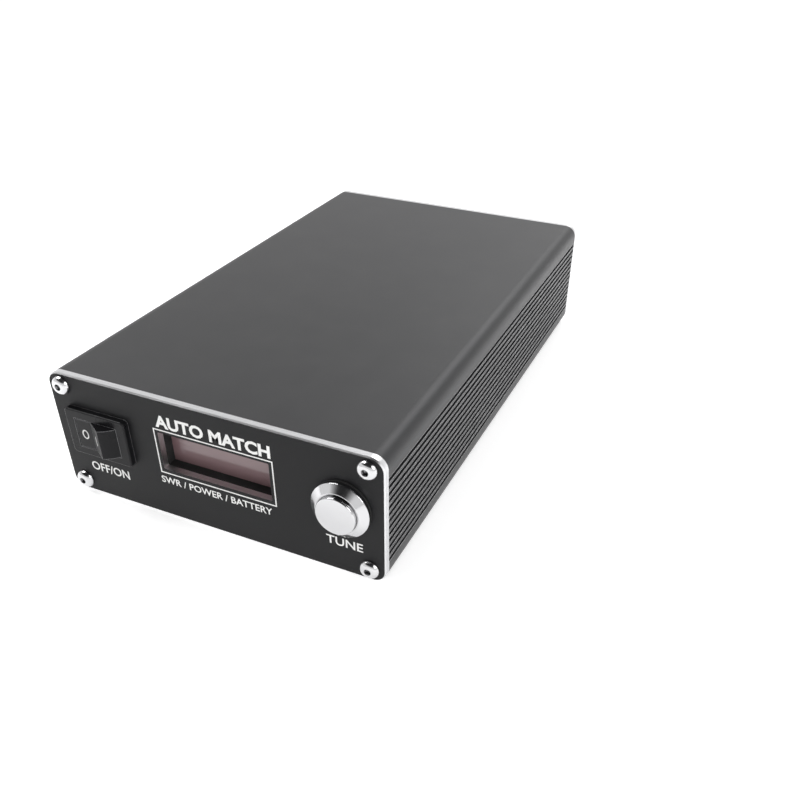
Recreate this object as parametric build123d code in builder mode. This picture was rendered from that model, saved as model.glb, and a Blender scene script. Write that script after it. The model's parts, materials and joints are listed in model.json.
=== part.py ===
from build123d import *
import os
from math import cos, pi, radians, sin, sqrt, tan

os.makedirs("parts", exist_ok=True)

# An automatic antenna tuner in a two-part extruded aluminium case. Millimetres.
# X is width, Y runs from the front panel to the back, Z is up. The origin is the
# centre of the case's underside. The front panel faces -Y.

# ---------------------------------------------------------------- case sizes
case_w = 105.0  # over the fins
case_h = 40.0
case_l = 171.0  # the two shells, without the end panels
corner_r = 4.0  # long edges of the case and corners of both panels
wall = 2.0  # top and bottom
side_wall = 3.2  # measured to the tips of the fins
smooth_band = 6.4  # plain strip above and below the fins
fin_pitch = 2.15
groove_w = 1.35
groove_depth = 1.2
tongue_w = 0.9  # interlock along the split line
tongue_h = 1.5
tongue_gap = 0.1
rail_depth = 2.5  # board rails along both sides
rail_t = 1.0
rail_sink = 0.5  # into the side wall
rail_z = 7.6  # underside of the board
board_slot_gap = 0.2

panel_t = 2.0
panel_chamfer = 0.35

screw_inset_x = 4.7  # corner screws, from the case's side
screw_inset_z = 3.8  # from its top or bottom
boss_r = 3.2
m3_r = 1.45  # thread drawn as a plain shank
m3_hole_r = 1.5
m3_clear_r = 1.6
m3_head_r = 2.85
m3_head_h = 1.65
m3_rim_h = 0.33  # straight rim under the dome
m3_dome_r = 1.0  # flat on top of the dome
m3_dome_lean = 0.25  # the dome's slope where it leaves the rim
m3_socket_af = 2.0
m3_socket_depth = 1.0
m3_length = 9.0

# ------------------------------------------------------------- power switch
switch_z = 22.7
bezel_inset = 5.2  # outer edge of the bezel, from the case's side
bezel_lip_x = 0.9  # the bezel overlaps the switch body
bezel_lip_z = 1.1
bezel_t = 2.0
bezel_corner_r = 1.2
bezel_edge_r = 0.5
switch_end_wall = 0.55
switch_side_wall = 1.55
switch_depth = 15.0  # behind the panel's outer face
cutout_gap = 0.1
rocker_h = 9.3
rocker_r = 8.8
rocker_gap = 0.2
rocker_arc_gap = 0.25
rocker_tilt = 16.0  # each way from the middle
rocker_skin = 1.3
rocker_cheek = 1.2
rocker_back = 1.8
pivot_depth = 5.3  # rocker pivot, behind the bezel's face
trunnion_r = 1.0
trunnion_length = 1.2
trunnion_gap = 0.05
post_half = 1.7
post_back = 2.0
post_root = 0.65  # sunk into the rocker's skin
plunger_r = 0.9
plunger_gap = 0.07
plunger_tip = 7.3
plunger_front = -1.0
plunger_bore_front = -3.5
switch_wire_r = 0.12
switch_spring_r = 0.6
switch_spring_turns = 4
lever_face = 7.55  # contact lever's front face, behind the rocker's pivot
lever_t = 0.6
lever_half = 4.6
lever_h = 3.2
lever_tilt = 8.0
lever_pin_r = 0.25
lever_pin_end = 2.4  # above and below the lever's middle
rivet_r = 0.9
rivet_t = 0.4
chamber_w = 14.0
chamber_h = 7.0
chamber_back = 9.6  # behind the rocker's pivot
chamber_overlap = 2.0  # into the rocker's cavity
blade_t = 0.8
blade_w = 4.8
blade_length = 8.0
blade_gap = 0.05
side_blade_x = -4.2
pad_gap = 0.25
fulcrum_gap = 0.15

# -------------------------------------------------------------- tune button
button_z = 22.3
nut_side_gap = 0.3  # from the nut to the case's side wall
gasket_t = 0.4
gasket_rim = 1.2  # rims are measured outwards from the bush
flange_rim = 1.45
flange_back_rim = 1.1
washer_rim = 1.4
nut_rim = 1.5
flange_edge = 1.4  # widest edge, in front of the gasket
flange_front = 3.0  # flat lip, in front of the gasket
flange_lip = 0.6  # outside the cap
flange_edge_r = 0.22
bush_wall = 0.72
bush_length = 13.6
bush_gap = 0.1
cap_r = 5.7
cap_gap = 0.08
cap_proud = 5.0  # in front of the panel
cap_crown = 0.35
cap_edge_r = 0.45
collar_rim = 0.5  # outside the cap
collar_t = 1.2
collar_depth = 5.5  # shoulder in the bush, behind the panel's outer face
button_travel = 1.3
stop_gap = 0.05
spring_gap = 0.05
spring_turns = 3.5
spring_wire_r = 0.25
spring_mean_r = 4.4
base_front = 3.8  # contact block, behind the collar's back
base_length = 7.0
base_wall = 1.4
base_chamber_r = 4.6
stem_r = 2.0
stem_gap = 0.1
bridge_r = 3.4
bridge_t = 0.5
bridge_space = 1.4  # behind the block's front wall
terminal_w = 2.0
terminal_t = 0.5
terminal_x = 2.4
terminal_length = 7.0
terminal_gap = 0.05
washer_t = 0.8
nut_t = 2.2

# ------------------------------------------------------------------ display
display_x = 1.4
display_z = 23.1
window_w = 35.3
window_h = 12.2
window_corner_r = 0.4
glass_border_x = 0.85  # the glass reaches past the window
glass_border_z = 0.7
glass_t = 1.4
foam_t = 3.0
foam_border = 0.9  # the foam reaches past the glass
display_board_end = 3.5  # the board reaches past the glass
display_board_edge = 1.2
display_board_t = 1.2
display_gap = 0.2
carrier_wall = 1.8
carrier_lip = 1.5
carrier_back = 1.0
pin_pitch = 2.54
pin_w = 0.64
display_pins = 4
display_pin_length = 6.0
display_pin_inset = 1.9  # from the board's left end

# --------------------------------------------------------------- main board
board_t = 1.6
board_gap = 0.3  # each side, to the case's side wall
board_inset = 31.5  # board's front edge, from the front end of the shells
board_back_gap = 0.6  # to the RF sockets' nuts
relay_w = 10.1
relay_l = 20.2
relay_h = 10.8
relay_pitch = 11.6
relay_count = 8
relay_edge = 0.5
inductor_relay_y = 46.0
capacitor_relay_y = -12.0
core_r = 13.5
core_hole_r = 7.25
core_h = 11.0
core_edge = 0.8
core_xs = (-31.0, 0.0, 31.0)
core_y = 17.5
core_lift = 1.6
turn_count = 14
turn_w = 1.0
turn_gap = 0.2
capacitor_w = 4.6
capacitor_l = 5.7
capacitor_h = 2.4
capacitor_y = -27.5
can_r = 4.0
can_h = 11.5
can_xs = (31.5, 41.0)
can_y = -40.5
chip_w = 35.6
chip_d = 7.4
chip_h = 3.4
chip_lift = 0.5
chip_pins = 14
chip_y = -42.0
chip_x = -4.0
leg_w = 0.5
leg_reach = 1.1
driver_w = 10.2
driver_d = 7.4
driver_pins = 8
driver_xs = (-36.0, 21.0)
driver_y = -38.0
regulator_w = 10.0
regulator_d = 4.5
regulator_h = 15.0
regulator_x = -40.0
regulator_y = -50.0
coupler_w = 22.0
coupler_d = 14.0
coupler_h = 12.0
coupler_hole_r = 3.2
coupler_hole_x = 5.5
coupler_x = -32.0
coupler_gap = 5.5  # in front of the RF contacts
coupler_turn_t = 0.9
coupler_turn_w = 1.6
coupler_turns = 3
socket_box_w = 9.8
socket_box_d = 5.8
socket_box_h = 7.0
socket_box_wall = 1.0
socket_box_floor = 2.4
socket_box_xs = (-22.0, 40.0, 5.0)
socket_box_y = -50.0

# ------------------------------------------------------- battery and charger
battery_w = 50.0
battery_l = 72.0
battery_t = 8.0
battery_edge_r = 1.5
battery_y = -5.0
battery_foam_t = 1.0
battery_foam_margin = 6.0
guard_w = 25.0
guard_l = 4.0
guard_h = 1.0
guard_gap = 0.3
charger_w = 18.0
charger_l = 25.4
charger_t = 1.2
charger_lift = 4.0
spacer_r = 1.8
spacer_inset = 2.6
port_w = 8.94
port_h = 3.16
port_t = 0.3
port_length = 7.4
port_gap = 0.25
tongue_port_w = 6.7
tongue_port_t = 0.7
tongue_port_length = 4.6
port_back_t = 1.2
light_x = 13.0
light_r = 1.5
light_gap = 0.05
light_head_r = 1.9
light_head_t = 0.6
light_length = 5.0

# -------------------------------------------------------------- RF sockets
rf_x = 30.0  # each side of the middle
rf_z = 20.0
rf_flange = 25.4
rf_flange_t = 1.6
rf_flange_corner_r = 1.0
rf_barrel_r = 7.94
rf_barrel_length = 11.0
rf_barrel_chamfer = 0.6
rf_mouth_r = 6.0
rf_mouth_depth = 7.0
rf_insulator_r = 5.0
rf_insulator_back = 4.0  # behind the flange
rf_fit = 0.02
rf_pin_r = 2.0
rf_pin_depth = 8.0
rf_contact_r = 3.0
rf_contact_back = 6.0  # solder cup, behind the insulator
rf_panel_gap = 0.3
rf_hole_pitch = 18.2
rf_screw_length = 7.0
m3_nut_af = 5.5
m3_nut_t = 2.4

# -------------------------------------------------------------------- wires
signal_wire_r = 0.6
power_wire_r = 0.8
rf_wire_r = 0.9
bend_share = 0.45  # of the shorter run beside a bend
switch_turn_y = -57.0  # where the switch and button wires turn down
switch_drop = 2.0
button_drop = 4.0
display_turn_y = -71.0
display_foot_pitch = 1.9
battery_lead_x = 4.0
battery_turn_y = 50.0
battery_foot_in = 4.0  # from the charger board's front edge
battery_drop = 5.0
rf_turn = 2.0  # in front of the contact's cup
rf_foot_x = 18.5
rf_foot_in = 3.7  # in front of the contact's cup
rf_drop = 3.0

# ------------------------------------------------------------ derived sizes
front_y = -case_l / 2  # front end of the shells
back_y = case_l / 2
face_y = front_y - panel_t  # outer face of the front panel
rear_face_y = back_y + panel_t
split_z = case_h / 2
inner_x = case_w / 2 - side_wall
groove_count = 2 * int((case_h / 2 - smooth_band - groove_w / 2) / fin_pitch) + 1
screw_x = case_w / 2 - screw_inset_x
screw_points = [(sx * screw_x, z) for sx in (-1, 1) for z in (screw_inset_z, case_h - screw_inset_z)]
rocker_skin_r = rocker_r + rocker_arc_gap
switch_body_w = 2 * (rocker_skin_r + switch_end_wall)
switch_body_h = rocker_h + 2 * (rocker_gap + switch_side_wall)
bezel_w = switch_body_w + 2 * bezel_lip_x
bezel_h = switch_body_h + 2 * bezel_lip_z
switch_x = bezel_w / 2 + bezel_inset - case_w / 2
collar_r = cap_r + collar_rim
bush_bore_r = collar_r + cap_gap
bush_r = bush_bore_r + bush_wall
flange_r = bush_r + flange_rim
flange_lip_r = cap_r + flange_lip
nut_af = 2 * (bush_r + nut_rim)
button_x = inner_x - nut_af / 2 - nut_side_gap
board_top = rail_z + board_t
board_front = front_y + board_inset
board_back = back_y - m3_nut_t - board_back_gap
board_w = 2 * (inner_x - board_gap)


def facing_front(y):
    """Sketch plane at this y, seen from the front: X right, Z up, extruding to -Y."""
    return Plane(origin=(0, y, 0), x_dir=(1, 0, 0), z_dir=(0, -1, 0))


def keep(piece, name):
    """Labels a finished piece and writes its STEP file."""
    piece.part.label = name
    export_step(piece.part, f"parts/{name}.step")


# ==================================================================== shells
def half_case_section():
    """Section of one shell, drawn with its underside on y = 0 of the sketch."""
    with Locations((0, case_h / 2)):
        RectangleRounded(case_w, case_h, corner_r)
        Rectangle(2 * inner_x, case_h - 2 * wall, mode=Mode.SUBTRACT)
    rail_middle = rail_z + board_t / 2 + board_slot_gap / 2
    rail_offset = (board_t + board_slot_gap + rail_t) / 2
    for side in (-1, 1):
        for offset_z in (-rail_offset, rail_offset):
            with Locations((side * (inner_x + (rail_sink - rail_depth) / 2), rail_middle + offset_z)):
                Rectangle(rail_depth + rail_sink, rail_t)
    with Locations(*[(side * screw_x, screw_inset_z) for side in (-1, 1)]):
        Circle(boss_r)
        Circle(m3_hole_r, mode=Mode.SUBTRACT)
    for step in range(groove_count):
        z = split_z + (step - groove_count // 2) * fin_pitch
        with Locations((-case_w / 2, z), (case_w / 2, z)):
            Rectangle(2 * groove_depth, groove_w, mode=Mode.SUBTRACT)
    with Locations((0, split_z + case_h / 2)):
        Rectangle(case_w + corner_r, case_h, mode=Mode.SUBTRACT)
    with Locations((-inner_x - tongue_w / 2, split_z + tongue_h / 2)):
        Rectangle(tongue_w, tongue_h)
    rebate_w = tongue_w + tongue_gap
    rebate_h = tongue_h + tongue_gap
    with Locations((inner_x + rebate_w / 2, split_z - rebate_h / 2)):
        Rectangle(rebate_w, rebate_h, mode=Mode.SUBTRACT)


with BuildPart() as lower_shell:
    with BuildSketch(facing_front(back_y)):
        half_case_section()
    extrude(amount=case_l)
keep(lower_shell, "lower_shell")

# The upper shell is the same extrusion turned half a turn about the case's length.
with BuildPart() as upper_shell:
    with BuildSketch(Plane(origin=(0, back_y, case_h), x_dir=(-1, 0, 0), z_dir=(0, -1, 0))):
        half_case_section()
    extrude(amount=case_l)
keep(upper_shell, "upper_shell")


# ==================================================================== panels
def panel_blank():
    with Locations((0, case_h / 2)):
        RectangleRounded(case_w, case_h, corner_r)
    with Locations(*screw_points):
        Circle(m3_clear_r, mode=Mode.SUBTRACT)


with BuildPart() as front_panel:
    with BuildSketch(facing_front(front_y)):
        panel_blank()
    extrude(amount=panel_t)
    outer = front_panel.faces().sort_by(Axis.Y)[0].outer_wire().edges()
    chamfer(outer, panel_chamfer)
    with BuildSketch(facing_front(front_y)):
        with Locations((switch_x, switch_z)):
            Rectangle(switch_body_w + 2 * cutout_gap, switch_body_h + 2 * cutout_gap)
        with Locations((button_x, button_z)):
            Circle(bush_r + bush_gap)
        with Locations((display_x, display_z)):
            RectangleRounded(window_w, window_h, window_corner_r)
    extrude(amount=panel_t, mode=Mode.SUBTRACT)
keep(front_panel, "front_panel")

rf_centres = [(-rf_x, rf_z), (rf_x, rf_z)]
rf_screw_points = [
    (x + dx * rf_hole_pitch / 2, z + dz * rf_hole_pitch / 2)
    for x, z in rf_centres
    for dx in (-1, 1)
    for dz in (-1, 1)
]
charger_z = board_top + charger_lift
port_z = charger_z + charger_t + port_h / 2

with BuildPart() as rear_panel:
    with BuildSketch(facing_front(rear_face_y)):
        panel_blank()
        with Locations(*rf_centres):
            Circle(rf_insulator_r + rf_panel_gap, mode=Mode.SUBTRACT)
        with Locations(*rf_screw_points):
            Circle(m3_clear_r, mode=Mode.SUBTRACT)
        with Locations((0, port_z)):
            RectangleRounded(port_w + 2 * port_gap, port_h + 2 * port_gap, port_h / 2, mode=Mode.SUBTRACT)
        with Locations((light_x, port_z)):
            Circle(light_r + light_gap, mode=Mode.SUBTRACT)
    extrude(amount=panel_t)
    chamfer(rear_panel.faces().sort_by(Axis.Y)[-1].outer_wire().edges(), panel_chamfer)
keep(rear_panel, "rear_panel")


# ==================================================================== screws
def button_head_screw(outward, length):
    """One M3 socket button-head screw, seated on y = 0, its head towards outward (-1 or 1)."""
    with BuildPart() as screw:
        with BuildSketch(Plane.XY):
            with BuildLine():
                Polyline(
                    (0, outward * m3_head_h),
                    (0, -outward * length),
                    (m3_r, -outward * length),
                    (m3_r, 0),
                    (m3_head_r, 0),
                    (m3_head_r, outward * m3_rim_h),
                )
                TangentArc(
                    (m3_head_r, outward * m3_rim_h),
                    (m3_dome_r, outward * m3_head_h),
                    tangent=(-m3_dome_lean, outward),
                )
                Line((m3_dome_r, outward * m3_head_h), (0, outward * m3_head_h))
            make_face()
        revolve(axis=Axis.Y)
        top = Plane(origin=(0, outward * m3_head_h, 0), x_dir=(1, 0, 0), z_dir=(0, outward, 0))
        with BuildSketch(top):
            RegularPolygon(m3_socket_af / 2, 6, major_radius=False)
        extrude(amount=-m3_socket_depth, mode=Mode.SUBTRACT)
    return screw.part


front_screw = button_head_screw(-1, m3_length)
rear_screw = button_head_screw(1, m3_length)
rf_screw = button_head_screw(1, rf_screw_length)

with BuildPart() as front_panel_screws:
    with Locations(*[(x, face_y, z) for x, z in screw_points]):
        add(front_screw)
keep(front_panel_screws, "front_panel_screws")

with BuildPart() as rear_panel_screws:
    with Locations(*[(x, rear_face_y, z) for x, z in screw_points]):
        add(rear_screw)
keep(rear_panel_screws, "rear_panel_screws")

# ============================================================== power switch
bezel_face = face_y - bezel_t
pivot_y = bezel_face + pivot_depth
switch_back = face_y + switch_depth
valley = pivot_depth / cos(radians(rocker_tilt))


def rocker_profile(radius, depth, back):
    """V-fronted profile inside a circle about the pivot; the front is local -y."""
    slope = radians(rocker_tilt)
    run = -depth * sin(slope) + sqrt(radius**2 - (depth * cos(slope)) ** 2)
    corner = (run * cos(slope), -depth - run * sin(slope))
    heel = (sqrt(radius**2 - back**2), back)
    with BuildSketch() as profile:
        with BuildLine():
            Line((0, -depth), corner)
            ThreePointArc(corner, (radius, 0), heel)
            Line(heel, (-heel[0], heel[1]))
            ThreePointArc((-heel[0], heel[1]), (-radius, 0), (-corner[0], corner[1]))
            Line((-corner[0], corner[1]), (0, -depth))
        make_face()
    return profile.sketch


def switch_plane(tilt):
    """Plane across the rocker's pivot at mid-height, turned by tilt degrees about it."""
    turn = radians(tilt)
    return Plane(origin=(switch_x, pivot_y, switch_z), x_dir=(cos(turn), sin(turn), 0), z_dir=(0, 0, 1))


rocker_outline = rocker_profile(rocker_r, valley, rocker_back)
rocker_hollow = rocker_profile(rocker_r - rocker_skin, valley - rocker_skin, rocker_back + rocker_skin)
post_front = post_root - valley
pad_inner = pivot_y + chamber_back - pad_gap
fulcrum_inner = pivot_y + lever_face + lever_t + fulcrum_gap
trunnion_end = rocker_h / 2 + trunnion_length

with BuildPart() as power_switch_housing:
    with BuildSketch(facing_front(face_y)):
        with Locations((switch_x, switch_z)):
            RectangleRounded(bezel_w, bezel_h, bezel_corner_r)
    extrude(amount=bezel_t)
    fillet(power_switch_housing.faces().sort_by(Axis.Y)[0].outer_wire().edges(), bezel_edge_r)
    with BuildSketch(facing_front(switch_back)):
        with Locations((switch_x, switch_z)):
            Rectangle(switch_body_w, switch_body_h)
    extrude(amount=switch_depth)
    with BuildSketch(switch_plane(0)):
        Circle(rocker_skin_r)
    extrude(amount=rocker_h / 2 + rocker_gap, both=True, mode=Mode.SUBTRACT)
    with BuildSketch(switch_plane(0)):
        with Locations((0, (chamber_back + lever_face - chamber_overlap) / 2)):
            Rectangle(chamber_w, chamber_back - lever_face + chamber_overlap)
    extrude(amount=chamber_h / 2, both=True, mode=Mode.SUBTRACT)
    with BuildSketch(switch_plane(0)):
        Circle(trunnion_r + trunnion_gap)
    extrude(amount=trunnion_end + trunnion_gap, both=True, mode=Mode.SUBTRACT)
    with BuildSketch(facing_front(switch_back)):
        with Locations((switch_x, switch_z), (switch_x + side_blade_x, switch_z)):
            Rectangle(blade_t + 2 * blade_gap, blade_w + 2 * blade_gap)
    extrude(amount=switch_back - pivot_y - chamber_back, mode=Mode.SUBTRACT)
keep(power_switch_housing, "power_switch_housing")

with BuildPart() as power_switch_rocker:
    with BuildSketch(switch_plane(-rocker_tilt)):
        add(rocker_outline)
    extrude(amount=rocker_h / 2, both=True)
    with BuildSketch(switch_plane(-rocker_tilt)):
        add(rocker_hollow)
    extrude(amount=rocker_h / 2 - rocker_cheek, both=True, mode=Mode.SUBTRACT)
    with BuildSketch(switch_plane(-rocker_tilt)):
        Circle(trunnion_r)
    extrude(amount=trunnion_end, both=True)
    with BuildSketch(switch_plane(-rocker_tilt)):
        Rectangle(2 * post_half + 2 * trunnion_r, 2 * post_back)
    extrude(amount=rocker_h / 2 - rocker_cheek, both=True, mode=Mode.SUBTRACT)
    with BuildSketch(switch_plane(-rocker_tilt)):
        with Locations((0, (post_front + post_back) / 2)):
            Rectangle(2 * post_half, post_back - post_front)
    extrude(amount=post_half, both=True)
    bore_dir = switch_plane(-rocker_tilt).y_dir
    bore_start = switch_plane(-rocker_tilt).origin + bore_dir * plunger_bore_front
    with BuildSketch(Plane(origin=bore_start, z_dir=bore_dir)):
        Circle(plunger_r + plunger_gap)
    extrude(amount=post_back - plunger_bore_front + post_half, mode=Mode.SUBTRACT)
keep(power_switch_rocker, "power_switch_rocker")

with BuildPart() as power_switch_plunger:
    with BuildSketch(switch_plane(-rocker_tilt)):
        with BuildLine():
            Line((0, plunger_front), (plunger_r, plunger_front))
            Line((plunger_r, plunger_front), (plunger_r, plunger_tip - plunger_r))
            RadiusArc((plunger_r, plunger_tip - plunger_r), (0, plunger_tip), -plunger_r)
            Line((0, plunger_tip), (0, plunger_front))
        make_face()
    revolve(axis=Axis(tuple(switch_plane(0).origin), tuple(switch_plane(-rocker_tilt).y_dir)))
keep(power_switch_plunger, "power_switch_plunger")

switch_spring_length = plunger_front - plunger_bore_front - 2 * (switch_wire_r + trunnion_gap)
with BuildPart() as power_switch_spring:
    with BuildLine():
        switch_coil = Helix(
            pitch=switch_spring_length / switch_spring_turns,
            height=switch_spring_length,
            radius=switch_spring_r,
            center=tuple(bore_start + bore_dir * (switch_wire_r + trunnion_gap)),
            direction=tuple(bore_dir),
        )
    with BuildSketch(Plane(origin=switch_coil @ 0, z_dir=switch_coil % 0)):
        Circle(switch_wire_r)
    sweep(path=switch_coil)
keep(power_switch_spring, "power_switch_spring")

lever_y = pivot_y + lever_face + lever_t / 2
lever_turn = radians(lever_tilt)
lever_plane = Plane(
    origin=(switch_x, lever_y, switch_z), x_dir=(cos(lever_turn), sin(lever_turn), 0), z_dir=(0, 0, 1)
)
with BuildPart() as power_switch_lever:
    with BuildSketch(lever_plane):
        Rectangle(2 * lever_half, lever_t)
        with Locations((side_blade_x, (lever_t + rivet_t) / 2)):
            Rectangle(2 * rivet_r, rivet_t)
    extrude(amount=lever_h / 2, both=True)
    with BuildSketch(lever_plane):
        Circle(lever_pin_r)
    extrude(amount=lever_pin_end, both=True)
keep(power_switch_lever, "power_switch_lever")

with BuildPart() as power_switch_terminals:
    for x, inner in ((switch_x, fulcrum_inner), (switch_x + side_blade_x, pad_inner)):
        with BuildSketch(facing_front(switch_back + blade_length)):
            with Locations((x, switch_z)):
                Rectangle(blade_t, blade_w)
        extrude(amount=switch_back + blade_length - inner)
keep(power_switch_terminals, "power_switch_terminals")

# =============================================================== tune button
flange_y = face_y - gasket_t  # back of the flange
lip_y = flange_y - flange_front
cap_face_y = face_y - cap_proud
shoulder_y = face_y + collar_depth
collar_y = shoulder_y + stop_gap
collar_back = collar_y + collar_t
base_y = collar_back + base_front
base_back = base_y + base_length
bush_end = face_y + bush_length
bridge_y = base_y + base_wall + bridge_space
pad_y = bridge_y + bridge_t + button_travel + stop_gap
base_r = bush_bore_r - terminal_gap


def button_section():
    """Sketch plane through the button's axis: local x is the radius, local y is +Y."""
    return Plane(origin=(button_x, 0, button_z), x_dir=(1, 0, 0), z_dir=(0, 0, 1))


button_axis = Axis((button_x, 0, button_z), (0, 1, 0))

with BuildPart() as tune_button_housing:
    with BuildSketch(button_section()):
        with BuildLine():
            Polyline(
                (cap_r + cap_gap, lip_y),
                (flange_lip_r, lip_y),
                (flange_r, flange_y - flange_edge),
                (bush_r + flange_back_rim, flange_y),
                (bush_r, flange_y),
                (bush_r, bush_end),
                (bush_bore_r, bush_end),
                (bush_bore_r, shoulder_y),
                (cap_r + cap_gap, shoulder_y),
                close=True,
            )
        make_face()
    revolve(axis=button_axis)
    rims = tune_button_housing.edges().filter_by(GeomType.CIRCLE).filter_by(
        lambda e: abs(e.radius - flange_r) < stop_gap or abs(e.radius - flange_lip_r) < stop_gap
    )
    fillet(rims, flange_edge_r)
keep(tune_button_housing, "tune_button_housing")

with BuildPart() as tune_button_gasket:
    with BuildSketch(facing_front(face_y)):
        with Locations((button_x, button_z)):
            Circle(bush_r + gasket_rim)
            Circle(bush_r + bush_gap, mode=Mode.SUBTRACT)
    extrude(amount=gasket_t)
keep(tune_button_gasket, "tune_button_gasket")

with BuildPart() as tune_button_cap:
    with BuildSketch(button_section()):
        with BuildLine():
            ThreePointArc(
                (0, cap_face_y),
                (cap_r / 2, cap_face_y + cap_crown / 4),
                (cap_r, cap_face_y + cap_crown),
            )
            Polyline(
                (cap_r, cap_face_y + cap_crown),
                (cap_r, collar_y),
                (collar_r, collar_y),
                (collar_r, collar_back),
                (stem_r, collar_back),
                (stem_r, bridge_y),
                (0, bridge_y),
                (0, cap_face_y),
            )
        make_face()
    revolve(axis=button_axis)
    fillet(tune_button_cap.faces().sort_by(Axis.Y)[0].edges(), cap_edge_r)
keep(tune_button_cap, "tune_button_cap")

with BuildPart() as tune_button_bridge:
    with BuildSketch(facing_front(bridge_y + bridge_t)):
        with Locations((button_x, button_z)):
            Circle(bridge_r)
    extrude(amount=bridge_t)
keep(tune_button_bridge, "tune_button_bridge")

spring_length = base_front - 2 * spring_gap - 2 * spring_wire_r
with BuildPart() as tune_button_spring:
    with BuildLine():
        coil = Helix(
            pitch=spring_length / spring_turns,
            height=spring_length,
            radius=spring_mean_r,
            center=(button_x, collar_back + spring_gap + spring_wire_r, button_z),
            direction=(0, 1, 0),
        )
    with BuildSketch(Plane(origin=coil @ 0, z_dir=coil % 0)):
        Circle(spring_wire_r)
    sweep(path=coil)
keep(tune_button_spring, "tune_button_spring")

with BuildPart() as tune_button_base:
    with BuildSketch(facing_front(base_back)):
        with Locations((button_x, button_z)):
            Circle(base_r)
    extrude(amount=base_length)
    with BuildSketch(facing_front(base_back - base_wall)):
        with Locations((button_x, button_z)):
            Circle(base_chamber_r)
    extrude(amount=base_length - 2 * base_wall, mode=Mode.SUBTRACT)
    with BuildSketch(facing_front(base_y + base_wall)):
        with Locations((button_x, button_z)):
            Circle(stem_r + stem_gap)
    extrude(amount=base_wall, mode=Mode.SUBTRACT)
    with BuildSketch(facing_front(base_back)):
        with Locations((button_x - terminal_x, button_z), (button_x + terminal_x, button_z)):
            Rectangle(terminal_t + 2 * terminal_gap, terminal_w + 2 * terminal_gap)
    extrude(amount=base_wall, mode=Mode.SUBTRACT)
keep(tune_button_base, "tune_button_base")

with BuildPart() as tune_button_terminals:
    with BuildSketch(facing_front(base_back + terminal_length)):
        with Locations((button_x - terminal_x, button_z), (button_x + terminal_x, button_z)):
            Rectangle(terminal_t, terminal_w)
    extrude(amount=base_back + terminal_length - pad_y)
keep(tune_button_terminals, "tune_button_terminals")

with BuildPart() as tune_button_washer:
    with BuildSketch(facing_front(front_y + washer_t)):
        with Locations((button_x, button_z)):
            Circle(bush_r + washer_rim)
            Circle(bush_r + bush_gap, mode=Mode.SUBTRACT)
    extrude(amount=washer_t)
keep(tune_button_washer, "tune_button_washer")

with BuildPart() as tune_button_nut:
    with BuildSketch(facing_front(front_y + washer_t + nut_t)):
        with Locations((button_x, button_z)):
            RegularPolygon(nut_af / 2, 6, major_radius=False, rotation=30)
            Circle(bush_r + stop_gap, mode=Mode.SUBTRACT)
    extrude(amount=nut_t)
keep(tune_button_nut, "tune_button_nut")

# =================================================================== display
glass_w = window_w + 2 * glass_border_x
glass_h = window_h + 2 * glass_border_z
display_board_w = glass_w + 2 * display_board_end
display_board_h = glass_h + 2 * display_board_edge
glass_front = front_y + foam_t
board_front_y = glass_front + glass_t
carrier_w = display_board_w + 2 * (display_gap + carrier_wall)
carrier_h = display_board_h + 2 * (display_gap + carrier_wall)
carrier_depth = foam_t + glass_t + display_board_t + carrier_back
display_spot = (display_x, display_z)

with BuildPart() as display_carrier:
    with BuildSketch(facing_front(front_y + carrier_depth)):
        with Locations(display_spot):
            RectangleRounded(carrier_w, carrier_h, carrier_wall)
    extrude(amount=carrier_depth)
    with BuildSketch(facing_front(front_y + carrier_depth)):
        with Locations(display_spot):
            Rectangle(display_board_w - 2 * carrier_lip, display_board_h - 2 * carrier_lip)
    extrude(amount=carrier_depth, mode=Mode.SUBTRACT)
    with BuildSketch(facing_front(front_y + carrier_depth - carrier_back)):
        with Locations(display_spot):
            Rectangle(display_board_w + 2 * display_gap, display_board_h + 2 * display_gap)
    extrude(amount=carrier_depth - carrier_back, mode=Mode.SUBTRACT)
keep(display_carrier, "display_carrier")

with BuildPart() as display_foam:
    with BuildSketch(facing_front(glass_front)):
        with Locations(display_spot):
            Rectangle(glass_w + 2 * foam_border, glass_h + 2 * foam_border)
            Rectangle(window_w, window_h, mode=Mode.SUBTRACT)
    extrude(amount=foam_t)
keep(display_foam, "display_foam")

with BuildPart() as display_glass:
    with BuildSketch(facing_front(board_front_y)):
        with Locations(display_spot):
            Rectangle(glass_w, glass_h)
    extrude(amount=glass_t)
keep(display_glass, "display_glass")

pin_row = [
    (display_x - display_board_w / 2 + display_pin_inset,
     display_z + (step - (display_pins - 1) / 2) * pin_pitch)
    for step in range(display_pins)
]
with BuildPart() as display_board:
    with BuildSketch(facing_front(board_front_y + display_board_t)):
        with Locations(display_spot):
            Rectangle(display_board_w, display_board_h)
        with Locations(*pin_row):
            Rectangle(pin_w + 2 * stop_gap, pin_w + 2 * stop_gap, mode=Mode.SUBTRACT)
    extrude(amount=display_board_t)
keep(display_board, "display_board")

with BuildPart() as display_pins_group:
    with BuildSketch(facing_front(board_front_y + display_pin_length)):
        with Locations(*pin_row):
            Rectangle(pin_w, pin_w)
    extrude(amount=display_pin_length)
keep(display_pins_group, "display_pins")

# ================================================================ main board
board_l = board_back - board_front


def over_board(z=0.0):
    """Sketch plane parallel to the board, z above its top."""
    return Plane.XY.offset(board_top + z)


with BuildPart() as main_board:
    with BuildSketch(Plane.XY.offset(rail_z)):
        with Locations((0, (board_front + board_back) / 2)):
            Rectangle(board_w, board_l)
    extrude(amount=board_t)
keep(main_board, "main_board")


def relay_row(y):
    """Centres of one row of relays across the board."""
    first = -(relay_count - 1) / 2 * relay_pitch
    return [(first + step * relay_pitch, y) for step in range(relay_count)]


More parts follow.
